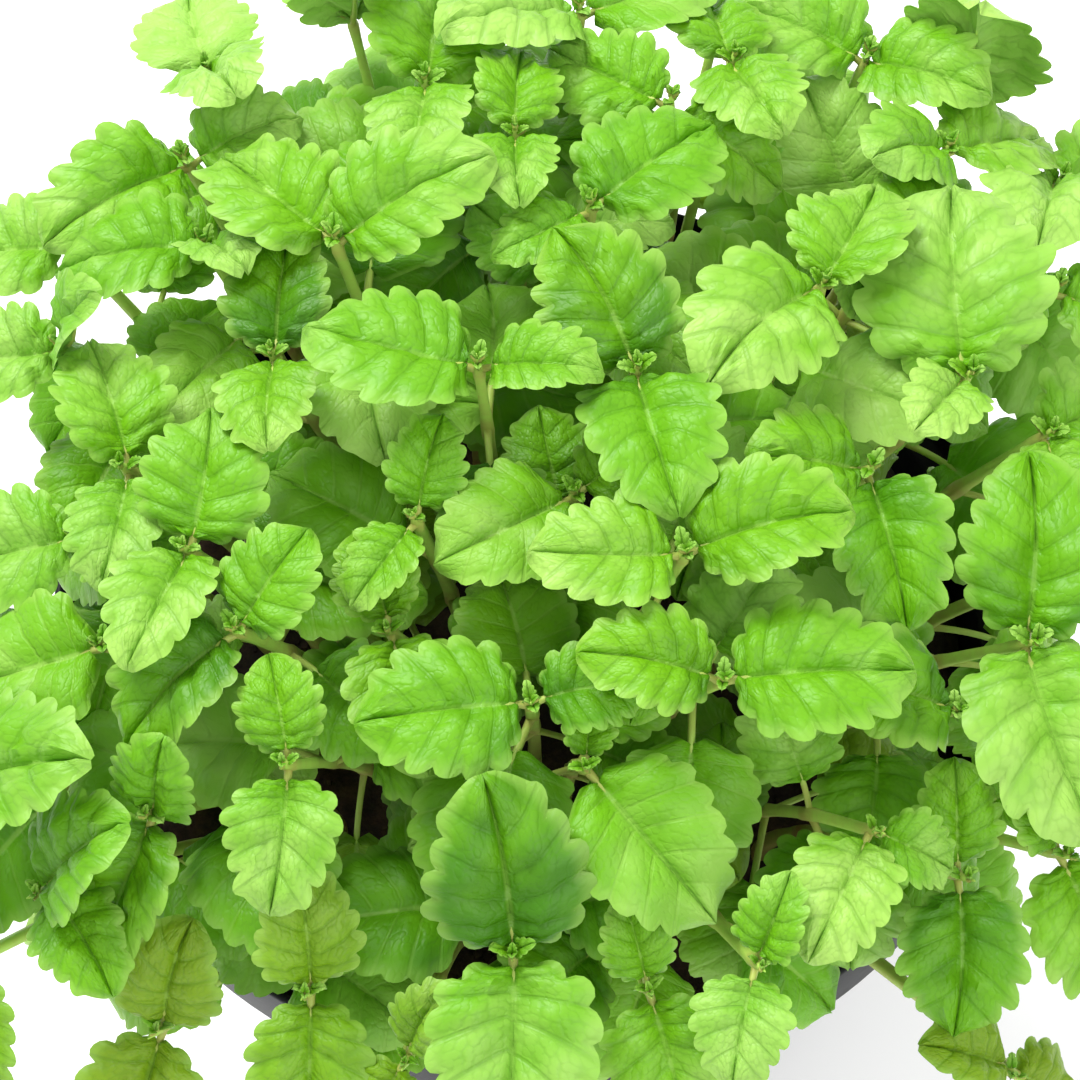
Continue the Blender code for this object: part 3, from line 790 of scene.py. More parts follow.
@dataclass(frozen=True)
class LeafTone:
    """How one leaf is coloured.

    tone runs from 0, pale, to 1, deep green; age from 0, new, to 1, old and yellowing; and cool from
    0, yellow green, to 1, bluish green.
    """

    tone: float
    age: float
    cool: float


def wave(turns: Floats) -> Floats:
    """Sine of a number of full turns."""
    return np.sin(math.tau * turns)


@dataclass(frozen=True)
class FineBlade:
    """Builds one leaf's blade as a thin closed lens whose rows follow its side veins."""

    leaf: Leaf
    form: BladeForm
    tone: LeafTone
    seed: float
    thickness: float = 0.00034
    # Painted shade and light: the tone deepens towards the blade's base and pales towards its tip by this share.
    painted_tip_light: float = 0.42
    mottling: float = 0.07

    def outline(self, share: Floats) -> tuple[Floats, Floats, Floats, Floats]:
        """Works out the smooth outline at these shares of its own length, from base to tip.

        The outline is measured along its arc, so that its points are spread evenly.

        Args:
            share: shares of the arc.

        Returns:
            Distance along the midrib, distance from it, and the two parts of the outward direction.
        """
        at = (1 - np.cos(math.pi * np.linspace(0, 1, 600))) / 2
        x, y = at * self.leaf.length, self.leaf.half_width(at) * 0.97
        arc = np.concatenate(([0.0], np.cumsum(np.hypot(np.diff(x), np.diff(y)))))
        arc /= arc[-1]
        even = np.linspace(0, 1, 200)
        dx, dy = (np.gradient(np.interp(even, arc, part)) for part in (x, y))
        size = np.hypot(dx, dy)
        out_x, out_y = np.interp(share, even, -dy / size), np.interp(share, even, dx / size)
        return np.interp(share, arc, x), np.interp(share, arc, y), out_x, out_y

    def teeth(self, share: Floats, count: Floats) -> Floats:
        """Reach of the teeth: each swells as a rounded sine, unevenly by number, and the tip as one lobe.

        Args:
            share: shares of the margin.
            count: the tooth count there, whole in each notch.

        Returns:
            Distances out of the smooth outline.
        """
        shape = BLADE_SHAPES[self.form]
        phase = np.mod(np.clip(count, 0, None), 1.0)
        uneven = 1 + 0.22 * wave(1.7 * np.floor(count) + 5 * self.seed)
        lobe = np.clip((1 - share) / shape.end, 0, 1) ** 0.5 * 0.55
        reach = np.where(count < shape.teeth, np.sin(math.pi * phase**1.12) ** 0.62, lobe) * (count > 0)
        return reach * uneven * self.leaf.length * shape.tooth * np.clip(0.6 + 1.6 * share, 0, 1)

    def surface(self) -> Patch:
        """Builds the blade.

        Rows run from the midrib to the margin as the side veins do, leaving it further forward the
        nearer they are to the tip. Towards the stalk the blade runs back in two lobes. The lower
        face lies a thickness below the upper one, and a little more along the midrib.

        Returns:
            The closed blade.
        """
        leaf, shape = self.leaf, BLADE_SHAPES[self.form]
        toothed = 1 - shape.bare - shape.end
        bare = np.linspace(0.0, shape.bare, 4)[1:]
        tooth_at = np.arange(1, shape.teeth * shape.rows + 1) / shape.rows
        lobe = 1 - shape.end * np.linspace(1, 0, shape.rows + 2)[1:-1]
        share = np.concatenate((bare, shape.bare + toothed * tooth_at / shape.teeth, lobe))[:, None]
        count = (share - shape.bare) / toothed * shape.teeth
        half = np.array(shape.columns)
        across = np.concatenate((-half[:0:-1], half))[None, :]
        size = np.abs(across)
        edge_x, edge_y, out_x, out_y = self.outline(share)
        tooth = self.teeth(share, count) * size**6
        rib_x = leaf.length * share**1.9 * (1 - 0.02 * share)
        x = rib_x + (edge_x - rib_x) * size**1.25 + (out_x + 0.25 * np.abs(out_y)) * tooth
        x = x - leaf.length * shape.heart * size**1.5 * np.exp(-((share / 0.10) ** 2))
        y = np.sign(across) * (edge_y * size + out_y * tooth)
        vein = count * 4 / 5 + 0.18 * (across < 0) + 0.35
        lift = self.relief(vein, size, share)
        under = np.where(size < 0.1, self.thickness * 0.9, 0.0)
        upper = self.placed(x, y, lift)
        lower = self.placed(x, y, lift - self.thickness * (1 - size**4) - under)
        inner = slice(-2, 0, -1)
        rings = np.concatenate((upper, lower[:, inner]), axis=1)
        base, tip = leaf.midrib(np.array([leaf.petiole, leaf.petiole + leaf.length * 1.01]))[0]
        # The tone carries painted shade towards the base and painted light towards the tip; the mottle is the leaf's
        # own blotching.
        depth = self.tone.tone + 0.16 - self.painted_tip_light * share + self.mottling * self.mottle(x, y)
        values = {"vein": vein, "across": size, "tone": depth}
        values |= {"age": self.tone.age, "cool": self.tone.cool, "pale": shape.pale}
        spread = {name: np.broadcast_to(value, x.shape) for name, value in values.items()}
        grids = {name: np.concatenate((grid, grid[:, inner]), axis=1) for name, grid in spread.items()}
        grids["underside"] = np.concatenate((0 * x, 0 * x[:, inner] + 1), axis=1)
        return Patch.closed(rings, base, tip, **grids)

    def mottle(self, x: Floats, y: Floats) -> Floats:
        """Soft blotches over the blade: a sum of three sine waves that cross at different angles."""
        a, b, c = (math.tau * (self.seed * k + 0.3) for k in (13, 19, 29))
        return np.sin(x / 0.0011 + a) * np.sin(y / 0.0013 + b) + 0.8 * np.sin((x + y) / 0.0021 + c)

    def relief(self, vein: Floats, size: Floats, share: Floats) -> Floats:
        """Gives the height of the upper face over the folded blade.

        Between veins the face swells with the sine of the vein count, and it sinks over the midrib
        and at the margin. Sine waves crumple the blade, ripple its margin and dome each half.

        Args:
            vein: the vein count, whole on each side vein.
            size: distance from the midrib as a share of the half width.
            share: share of the margin.

        Returns:
            Heights.
        """
        seed, shape = self.seed, BLADE_SHAPES[self.form]
        inside = (1 - np.exp(-size / 0.13)) * (1 - size**3)
        cross = 1 + 0.42 * wave(size * 2.9 + 0.5 * np.floor(vein) + seed)
        quilt = shape.quilt * np.abs(np.sin(math.pi * vein)) ** 0.8 * inside * cross
        groove = shape.groove * np.exp(-((size / 0.07) ** 2))
        crumple = (
            wave(3.1 * share + 0.7 * size + 11 * seed)
            + wave(2.2 * size - 1.3 * share + 17 * seed)
            + 0.6 * wave(5.3 * share + 2.1 * size + 23 * seed)
        )
        fade = np.sin(math.pi * np.clip(share, 0.02, 0.98)) ** 0.4
        ripple = shape.wave * size**2 * (wave(2.3 * share + seed * 7) + wave(1.1 * share + seed * 3))
        dome = 0.045 * np.sin(math.pi * size) - 0.05 * size**3
        return self.leaf.length * ((quilt - groove + 0.016 * inside * crumple) * fade + ripple + dome)

    def placed(self, x: Floats, y: Floats, lift: Floats) -> Floats:
        """Puts points of the flat blade in place: along the curved midrib, on the two folded halves.

        Args:
            x: distances along the blade.
            y: distances across it.
            lift: heights over it.

        Returns:
            Points, on the same grid.
        """
        leaf = self.leaf
        frames = leaf.midrib((leaf.petiole + x).ravel())
        place, across, normal = (part.reshape(*x.shape, 3) for part in frames)
        fold, soft = math.radians(leaf.fold), 0.06 * leaf.width
        height = (np.sqrt(y**2 + soft**2) - soft) * math.sin(fold) + lift
        return place + across * (y * math.cos(fold))[..., None] + normal * height[..., None]


def tube(
    path: Floats, radii: Floats, sides: int, square: float = 0.0, turn: float = 0.0, **values: Floats
) -> Patch:
    """Carries a round or squarish section along a path.

    The section's radius is the given one times 1 + square times the cosine of four times the angle.

    Args:
        path: points along the middle.
        radii: the radius at each.
        sides: corners of the section.
        square: how square the section is.
        turn: angle that the section is turned by, in radians.
        values: for each name, a value at each path point.

    Returns:
        The closed tube.
    """
    ahead = np.gradient(path, axis=0)
    ahead /= np.linalg.norm(ahead, axis=1, keepdims=True)
    guide = np.array((1.0, 0.0, 0.0)) if abs(ahead[:, 2]).mean() > 0.6 else UP
    level = np.cross(guide, ahead)
    level /= np.linalg.norm(level, axis=1, keepdims=True)
    other = np.cross(ahead, level)
    angle = np.linspace(0, math.tau, sides, endpoint=False) + turn
    reach = 1 + square * np.cos(4 * (angle - turn))
    cosine, sine = (part(angle)[None, :, None] for part in (np.cos, np.sin))
    ring = cosine * level[:, None, :] + sine * other[:, None, :]
    rings = path[:, None, :] + ring * (radii[:, None] * reach[None, :])[..., None]
    spread = {name: np.repeat(value[:, None], sides, axis=1) for name, value in values.items()}
    return Patch.closed(rings, path[0], path[-1], **spread)


def smooth_path(points: Floats, count: int) -> Floats:
    """Draws a smooth curve through points.

    Between neighbours it is the cubic whose slope at each point is the mean slope of the two
    neighbouring pieces.

    Args:
        points: the points it passes.
        count: how many points to return.

    Returns:
        Points, spread evenly in the running length.
    """
    knots = np.concatenate(([0.0], np.cumsum(np.linalg.norm(np.diff(points, axis=0), axis=1))))
    slope = np.gradient(points, knots, axis=0)
    at = np.linspace(0, knots[-1], count)
    piece = np.clip(np.searchsorted(knots, at, "right") - 1, 0, len(knots) - 2)
    gap = (knots[piece + 1] - knots[piece])[:, None]
    s = (at - knots[piece])[:, None] / gap
    return (
        points[piece] * (1 + 2 * s) * (1 - s) ** 2
        + slope[piece] * gap * s * (1 - s) ** 2
        + points[piece + 1] * s * s * (3 - 2 * s)
        + slope[piece + 1] * gap * s * s * (s - 1)
    )


@dataclass(frozen=True)
class LivingLeaf(Finish):
    """Lemon balm leaf, grown: a soft satin green blade, quilted between its veins.

    Light shines through the blade: glow is the share. The net of small veins has cells about a
    millimetre wide: net_cells gives their number between two side veins and from the midrib to the
    margin. Its lines and the creases over the side veins are darkened as painted shade, the more so
    the less pale the veins are. The mesh gives each point its vein count, its share of the way
    across, and the leaf's tone, age, coolness and pallor of veins; the tone holds painted shade
    towards the blade's base and painted light towards its tip.
    """

    name: str = "lemon_balm_leaf"
    deep: str = "#447F00"
    fresh: str = "#7ABB12"
    pale: str = "#B4DE6A"
    aged: str = "#8DA81C"
    vein_green: str = "#B2DA68"
    cool_green: str = "#4FA61E"
    under: str = "#9CC462"
    net_cells: tuple[float, float] = (4.5, 9.0)
    roughness: float = 0.44
    glow: float = 0.30

    def surface(self, tree: bpy.types.NodeTree) -> Socket:
        """Adds the blade's nodes: colours laid one over another, with painted shade in the vein creases and the fine
        net, the veins' relief, and the glow.
        """
        add = partial(add_node, tree)
        names = ("vein", "across", "tone", "age", "cool", "pale", "underside")
        vein, across, tone, age, cool, pale, underside = (
            add("Attribute", {}, "Fac", attribute_name=name) for name in names
        )
        beat = add("Math", {0: vein, 1: 0.5}, operation="PINGPONG")
        down = add("Math", {0: vein, 1: self.net_cells[0]}, operation="MULTIPLY")
        down = add("Math", {0: cool, 1: 90.0, 2: down}, operation="MULTIPLY_ADD")
        out = add("Math", {0: across, 1: self.net_cells[1]}, operation="MULTIPLY")
        net = add(
            "TexVoronoi",
            {"Vector": add("CombineXYZ", {"X": down, "Y": out}), "Scale": 1.0, "Randomness": 0.9},
            "Distance",
            feature="F1",
            voronoi_dimensions="2D",
        )
        # Each smooth ramp: the value, where it starts, where it ends, and what it reaches.
        ramps = (
            (tone, 0.0, 0.5, 1.0), (tone, 0.5, 1.0, 1.0), (age, 0.35, 1.0, 1.0), (net, 0.30, 0.78, 1.0),
            (beat, 0.085, 0.02, 1.0), (across, 0.065, 0.02, 1.0), (beat, 0.16, 0.0, 0.28),
            (across, 0.80, 1.0, 0.45),
        )
        is_fresh, is_deep, is_old, fine, lateral, midrib, painted_crease_shade, margin = (
            add(
                "MapRange",
                {"Value": value, "From Min": start, "From Max": end, "To Max": top},
                interpolation_type="SMOOTHSTEP",
            )
            for value, start, end, top in ramps
        )
        # Painted shade: the lines of the fine vein net and the creases over the side veins are darkened towards the
        # deep green, only where the veins are not pale.
        painted_net_shade = add("Math", {0: fine, 1: 0.16}, operation="MULTIPLY")
        painted_crease_shade = add("Math", {0: painted_net_shade, 1: painted_crease_shade}, operation="MAXIMUM")
        young = add("Math", {0: 1.0, 1: pale}, operation="SUBTRACT")
        painted_crease_shade = add("Math", {0: painted_crease_shade, 1: young}, operation="MULTIPLY")
        side_veins = add("Math", {0: lateral, 1: 0.16}, operation="MULTIPLY")
        side_veins = add("Math", {0: side_veins, 1: pale}, operation="MULTIPLY")
        rib = add("Math", {0: pale, 1: 0.20, 2: 0.30}, operation="MULTIPLY_ADD")
        rib = add("Math", {0: midrib, 1: rib}, operation="MULTIPLY")
        veins = add("Math", {0: side_veins, 1: rib}, operation="MAXIMUM")
        below = add("Math", {0: underside, 1: 0.6}, operation="MULTIPLY")
        bluish = add("Math", {0: cool, 1: 0.22}, operation="MULTIPLY")
        colour: str | Socket = self.pale
        for share, next_colour in (
            (is_fresh, self.fresh),
            (is_deep, self.deep),
            (is_old, self.aged),
            # painted shade in the vein creases and the fine net
            (painted_crease_shade, self.deep),
            (veins, self.vein_green),
            (margin, self.vein_green),
            (below, self.under),
            (bluish, self.cool_green),
        ):
            colour = add("Mix", {0: share, 6: colour, 7: next_colour}, 2, data_type="RGBA")
        strong = add("Math", {0: lateral, 1: midrib}, operation="MAXIMUM")
        height = add("Math", {0: fine, 1: -0.42, 2: 0.6}, operation="MULTIPLY_ADD")
        height = add("Math", {0: strong, 1: -0.5, 2: height}, operation="MULTIPLY_ADD")
        bump = add("Bump", {"Height": height, "Strength": 0.50, "Distance": 0.00030})
        face = add(
            "BsdfPrincipled",
            {"Base Color": colour, "Roughness": self.roughness, "IOR": 1.42, "Normal": bump},
            distribution="GGX",
        )
        through = add("BsdfTranslucent", {"Color": colour})
        return add("MixShader", {0: self.glow, 1: face, 2: through})


@dataclass(frozen=True)
class LivingStem(Finish):
    """Lemon balm stem, grown: square, yellow-green, and reddish brown towards the soil and at nodes."""

    name: str = "lemon_balm_stem"
    green: str = "#A6CE55"
    blush: str = "#9C6F4C"
    roughness: float = 0.5
    streak: float = 0.0015

    def surface(self, tree: bpy.types.NodeTree) -> Socket:
        """Adds the stem's nodes: the mesh's own blush value, made streaky, mixes its two colours."""
        add = partial(add_node, tree)
        blush = add("Attribute", {}, "Fac", attribute_name="blush")
        place = add("TexCoord", {}, "Object")
        streak = add("TexNoise", {"Vector": place, "Scale": 1 / self.streak, "Detail": 3.0}, "Fac")
        share = add("Math", {0: streak, 1: 0.6, 2: -0.3}, operation="MULTIPLY_ADD")
        share = add("Math", {0: share, 1: blush}, operation="ADD", use_clamp=True)
        colour = add("Mix", {0: share, 6: self.green, 7: self.blush}, 2, data_type="RGBA")
        return add("BsdfPrincipled", {"Base Color": colour, "Roughness": self.roughness, "IOR": 1.4})


@dataclass(frozen=True)
class MouldedPolypropylene(Finish):
    """Black polypropylene, vacuum formed: a soft satin with a fine grain and a little dried peat dust."""

    name: str = "black_polypropylene"
    black: str = "#17181A"
    dust: str = "#4B4038"
    grain: float = 0.0006

    def surface(self, tree: bpy.types.NodeTree) -> Socket:
        """Adds the plastic's nodes. Where the dust lies thicker the plastic is rougher."""
        add = partial(add_node, tree)
        place = add("TexCoord", {}, "Object")
        smear = add("TexNoise", {"Vector": place, "Scale": 45.0, "Detail": 6.0, "Roughness": 0.7}, "Fac")
        dust = add(
            "MapRange",
            {"Value": smear, "From Min": 0.58, "From Max": 0.80, "To Max": 0.35},
            interpolation_type="SMOOTHSTEP",
        )
        colour = add("Mix", {0: dust, 6: self.black, 7: self.dust}, 2, data_type="RGBA")
        rough = add("Math", {0: dust, 1: 0.6, 2: 0.46}, operation="MULTIPLY_ADD")
        grain = add("TexNoise", {"Vector": place, "Scale": 1 / self.grain, "Detail": 2.0}, "Fac")
        bump = add("Bump", {"Height": grain, "Strength": 0.25, "Distance": 0.0001})
        inputs = {"Base Color": colour, "Roughness": rough, "IOR": 1.49, "Specular IOR Level": 0.12}
        return add("BsdfPrincipled", inputs | {"Normal": bump})


@dataclass(frozen=True)
class MoistPeat(Finish):
    """Peat compost, moist: dark crumbs with paler fibres, quite matt."""

    name: str = "moist_peat"
    dark: str = "#20150E"
    brown: str = "#4A3423"
    patch: float = 0.005
    crumb: float = 0.0016

    def surface(self, tree: bpy.types.NodeTree) -> Socket:
        """Adds the compost's nodes: broad patches of two browns, and a grit in relief."""
        add = partial(add_node, tree)
        place = add("TexCoord", {}, "Object")
        broad = {"Vector": place, "Scale": 1 / self.patch, "Detail": 6.0, "Roughness": 0.75}
        brown = add(
            "MapRange",
            {"Value": add("TexNoise", broad, "Fac"), "From Min": 0.4, "From Max": 0.7},
            interpolation_type="SMOOTHSTEP",
        )
        colour = add("Mix", {0: brown, 6: self.dark, 7: self.brown}, 2, data_type="RGBA")
        grit = add("TexNoise", {"Vector": place, "Scale": 1 / self.crumb, "Detail": 5.0}, "Fac")
        bump = add("Bump", {"Height": grit, "Strength": 0.9, "Distance": 0.0006})
        return add("BsdfPrincipled", {"Base Color": colour, "Roughness": 0.93, "Normal": bump})


@dataclass(frozen=True)
class MattPaint(Finish):
    """Matt white paint, rolled on the studio's floor."""

    name: str = "matt_white_paint"
    white: str = "#FFFFFF"

    def surface(self, tree: bpy.types.NodeTree) -> Socket:
        """Adds the paint's one node."""
        return add_node(tree, "BsdfDiffuse", {"Color": self.white, "Roughness": 0.0})


@dataclass
class LeafyStem:
    """One leafy stem: its square stem, its leaf stalks, its leaves and its bud."""

    number: int
    stem: Stem
    leaves: list[Leaf]
    rings: int = 44
    sides: int = 8
    bud_share: float = 0.15
    bud_pairs: tuple[tuple[float, float], ...] = ((1.0, 58.0), (0.62, 74.0))
    draw: random.Random = field(default_factory=random.Random)

    def __post_init__(self) -> None:
        """Seeds the stem's own draw from its number."""
        self.draw = random.Random(1000 + self.number)

    @property
    def node(self) -> str:
        """The name of the solid that this stem replaces."""
        return f"leafy_stem_{self.number:02d}"

    def stalk(self, leaf: Leaf) -> Patch:
        """Builds a leaf's stalk, which runs on as the raised midrib under the blade.

        Args:
            leaf: the leaf.

        Returns:
            A tube from inside the stem to two thirds of the blade, thinning along the blade.
        """
        end = leaf.petiole + leaf.length * 0.66
        on_stalk, under, sides = (4, 4, 5) if leaf.layer is Layer.BUD else (6, 8, 6)
        on_rib = np.linspace(leaf.petiole, end, under)[1:]
        along = np.concatenate((np.linspace(0, leaf.petiole, on_stalk), on_rib))
        place, _, normal = leaf.midrib(along)
        on_blade = np.clip((along - leaf.petiole) / (end - leaf.petiole), 0, 1)
        size = 0.00026 + 0.011 * leaf.length
        radii = size * (1 - 0.72 * on_blade) * (1 + 0.25 * np.exp(-along / 0.0012))
        groove = BLADE_SHAPES[self.form_of(leaf)].groove * leaf.length
        sink = 0.0002 + (0.0001 + groove + 0.7 * radii) * np.minimum(1, on_blade * 6)
        near = np.exp(-along / 0.004)
        return tube(place - normal * sink[:, None], radii, sides, blush=0.12 + 0.45 * near)

    def shoot(self) -> Patch:
        """Builds the stem: squarish, thinner upwards, a little swollen where pairs of leaves join it."""
        stem = self.stem
        path = stem.path()
        middle = smooth_path(np.vstack((path[0] - UP * 0.006, path)), self.rings)
        height = np.clip((middle[:, 2] - stem.foot[2]) / (stem.head[2] - stem.foot[2]), 0, 1.2)
        radii = HABIT.stem_radius * (0.88 - 0.34 * height)
        radii = np.where(height > 1, radii * 0.75, radii)
        nodes = np.zeros_like(height)
        for habit in HABITS.values():
            away = np.linalg.norm(middle - stem.at_drop(habit.drop)[0], axis=1)
            nodes = np.maximum(nodes, np.exp(-((away / 0.0016) ** 2)))
        tip = np.minimum(1, 0.12 + 0.6 * np.arange(len(radii))[::-1])
        blush = np.clip(0.75 - 0.75 * height + 0.45 * nodes, 0, 1)
        radii = radii * (1 + 0.28 * nodes) * tip
        return tube(middle, radii, self.sides, square=0.10, turn=math.pi / 4, blush=blush)

    def bud_leaves(self) -> list[Leaf]:
        """The two pairs of unopened leaves at the head, each a quarter turn from the one outside it."""
        heading, opening, a, b = self.stem.row[2:6]
        size = self.bud_share * (a + b) / 2 * MM
        root, lean = self.stem.at_drop(0.0)
        leaves = []
        for pair, (share, rise) in enumerate(self.bud_pairs):
            for side in (0, 1):
                turn = heading + opening / 2 + 180 * side + 90 * pair + self.draw.uniform(-12, 12)
                length = size * share * self.draw.uniform(0.8, 1.15)
                leaf = Leaf(
                    root=root + lean * (0.0008 + 0.0012 * pair),
                    heading=turn,
                    petiole=0.0006,
                    length=length,
                    width=length * 0.66,
                    petiole_rise=rise + 10,
                    blade_rise=rise + self.draw.uniform(-10, 6),
                    arch=30.0,
                    fold=26.0,
                    roll=self.draw.uniform(-10, 10),
                    sweep=0.0,
                    teeth=3,
                    layer=Layer.BUD,
                )
                leaves.append(leaf)
        return leaves

    def form_of(self, leaf: Leaf) -> BladeForm:
        """A leaf's form: quilted at the top and on short side shoots, smooth and round below."""
        if leaf.layer is Layer.BUD:
            return BladeForm.BUD
        if leaf.layer is Layer.TOP and (self.number - 1, leaf.side) not in SMOOTH_TOPS:
            return BladeForm.YOUNG
        return BladeForm.YOUNG if leaf.layer is Layer.SECOND and leaf.length < 0.015 else BladeForm.ROUND

    def tone_of(self, leaf: Leaf) -> LeafTone:
        """Draws a leaf's tone and age: new leaves are light, lower ones deep, the lowest yellowing."""
        cool = self.draw.uniform(0.0, 1.0)
        if leaf.layer is Layer.BUD:
            return LeafTone(self.draw.uniform(0.35, 0.6), 0.0, cool)
        if leaf.layer is Layer.TOP:
            tone = TOP_TONES[self.number - 1][leaf.side]
            age = min(max(-self.stem.row[8] / 12, 0.0), 0.9)
            return LeafTone(0.07 + 0.095 * tone + self.draw.uniform(-0.04, 0.04), age, cool)
        if leaf.layer is Layer.SECOND:
            return LeafTone(self.draw.uniform(0.25, 0.8), self.draw.uniform(0.0, 0.4), cool)
        return LeafTone(self.draw.uniform(0.4, 0.95), self.draw.uniform(0.1, 0.85), cool)

    def build(self, leaf_finish: bpy.types.Material, stem_finish: bpy.types.Material) -> bpy.types.Object:
        """Builds the leafy stem as one piece and lets it stand for its solid.

        Args:
            leaf_finish: the blades' material.
            stem_finish: the stem's and stalks' material.

        Returns:
            The piece.
        """
        piece = Piece(self.node + "_fine", [leaf_finish, stem_finish])
        piece.add(self.shoot(), 1)
        for leaf in [*self.leaves, *self.bud_leaves()]:
            blade = FineBlade(leaf, self.form_of(leaf), self.tone_of(leaf), self.draw.random())
            piece.add(blade.surface(), 0)
            piece.add(self.stalk(leaf), 1)
        made = piece.build()
        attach(made, "root")
        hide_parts(self.node)
        return made


@dataclass
class Pot:
    """The round nursery pot: a tapered shell with a deep rim band and drain holes in its floor."""

    height: float = 0.105
    rim_radius: float = 0.065
    band_height: float = 0.013
    band_step: float = 0.0028
    base_radius: float = 0.046
    base_edge: float = 0.003
    wall: float = 0.0014
    edge_radius: float = 0.0006
    steps: int = 144
    drain_holes: int = 6
    drain_radius: float = 0.0045
    drain_circle: float = 0.030

    def profile(self) -> Floats:
        """The half profile, from the middle of the floor up the inside and down the outside."""
        foot = self.height - self.band_height
        neck = self.rim_radius - self.band_step
        wall, rim, base, edge = self.wall, self.rim_radius, self.base_radius, self.base_edge
        return np.array(
            (
                (0.0, wall),
                (base - edge, wall),
                (base - wall, edge + wall),
                (neck - wall - 0.0004, foot),
                (rim - wall - 0.0002, foot + 0.002),
                (rim - wall, self.height - 0.0004),
                (rim - wall / 2, self.height),
                (rim, self.height - 0.0004),
                (rim - 0.0004, foot),
                (neck, foot),
                (base, edge),
                (base - edge, 0.0),
                (0.0, 0.0),
            )
        )

    def build(self, plastic: bpy.types.Material) -> bpy.types.Object:
        """Builds the pot, with its drain holes cut, and lets it stand for its solid.

        Args:
            plastic: its material.

        Returns:
            The piece.
        """
        piece = Piece("pot_fine", [plastic])
        piece.add(turned_surface(rounded_corners(self.profile(), self.edge_radius, 4), self.steps))
        made = piece.build()
        drains = Piece("drain_cutter", [plastic])
        out, low, high = self.drain_radius, -0.002, 0.004
        for k in range(self.drain_holes):
            angle = math.tau * (k + 0.5) / self.drain_holes
            patch = turned_surface(np.array(((0.0, low), (out, low), (out, high), (0.0, high))), 24)
            patch.points += self.drain_circle * np.array((math.cos(angle), math.sin(angle), 0.0))
            drains.add(patch)
        cutter = drains.build()
        cut = made.modifiers.new("drain", "BOOLEAN")
        cut.operation = "DIFFERENCE"
        cut.object = cutter
        cut.solver = "EXACT"
        graph = bpy.context.evaluated_depsgraph_get()
        mesh = bpy.data.meshes.new_from_object(made.evaluated_get(graph))
        made.modifiers.clear()
        made.data = mesh
        bpy.data.objects.remove(cutter)
        mesh.materials.clear()
        mesh.materials.append(plastic)
        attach(made, "root")
        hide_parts("pot")
        return made


def rounded_corners(profile: Floats, radius: float, count: int) -> Floats:
    """Rounds a profile's inner corners.

    Each corner becomes a quadratic curve between the points a radius, or two fifths of the side,
    before and after it.

    Args:
        profile: points, one a row.
        radius: the most that a corner is cut back.
        count: points on each rounded corner.

    Returns:
        The rounded profile, with the same ends.
    """
    before, corner, after = profile[:-2], profile[1:-1], profile[2:]
    back, on = before - corner, after - corner
    back_size, on_size = (np.linalg.norm(v, axis=1, keepdims=True) for v in (back, on))
    start = corner + back / back_size * np.minimum(radius, 0.4 * back_size)
    end = corner + on / on_size * np.minimum(radius, 0.4 * on_size)
    s = np.linspace(0, 1, count)[None, :, None]
    curve = start[:, None] * (1 - s) ** 2 + 2 * corner[:, None] * s * (1 - s) + end[:, None] * s**2
    return np.vstack((profile[:1], curve.reshape(-1, 2), profile[-1:]))


def turned_surface(profile: Floats, steps: int) -> Patch:
    """Turns a half profile about Z.

    Args:
        profile: points as distance out and height. The first and the last lie on the axis.
        steps: sides of the turned surface.

    Returns:
        The closed surface.
    """
    angle = np.linspace(0, math.tau, steps, endpoint=False)
    out, height = profile[1:-1, :1], np.repeat(profile[1:-1, 1:], steps, axis=1)
    rings = np.stack((out * np.cos(angle), out * np.sin(angle), height), axis=-1)
    return Patch.closed(rings, np.array((0, 0, profile[0, 1])), np.array((0, 0, profile[-1, 1])))


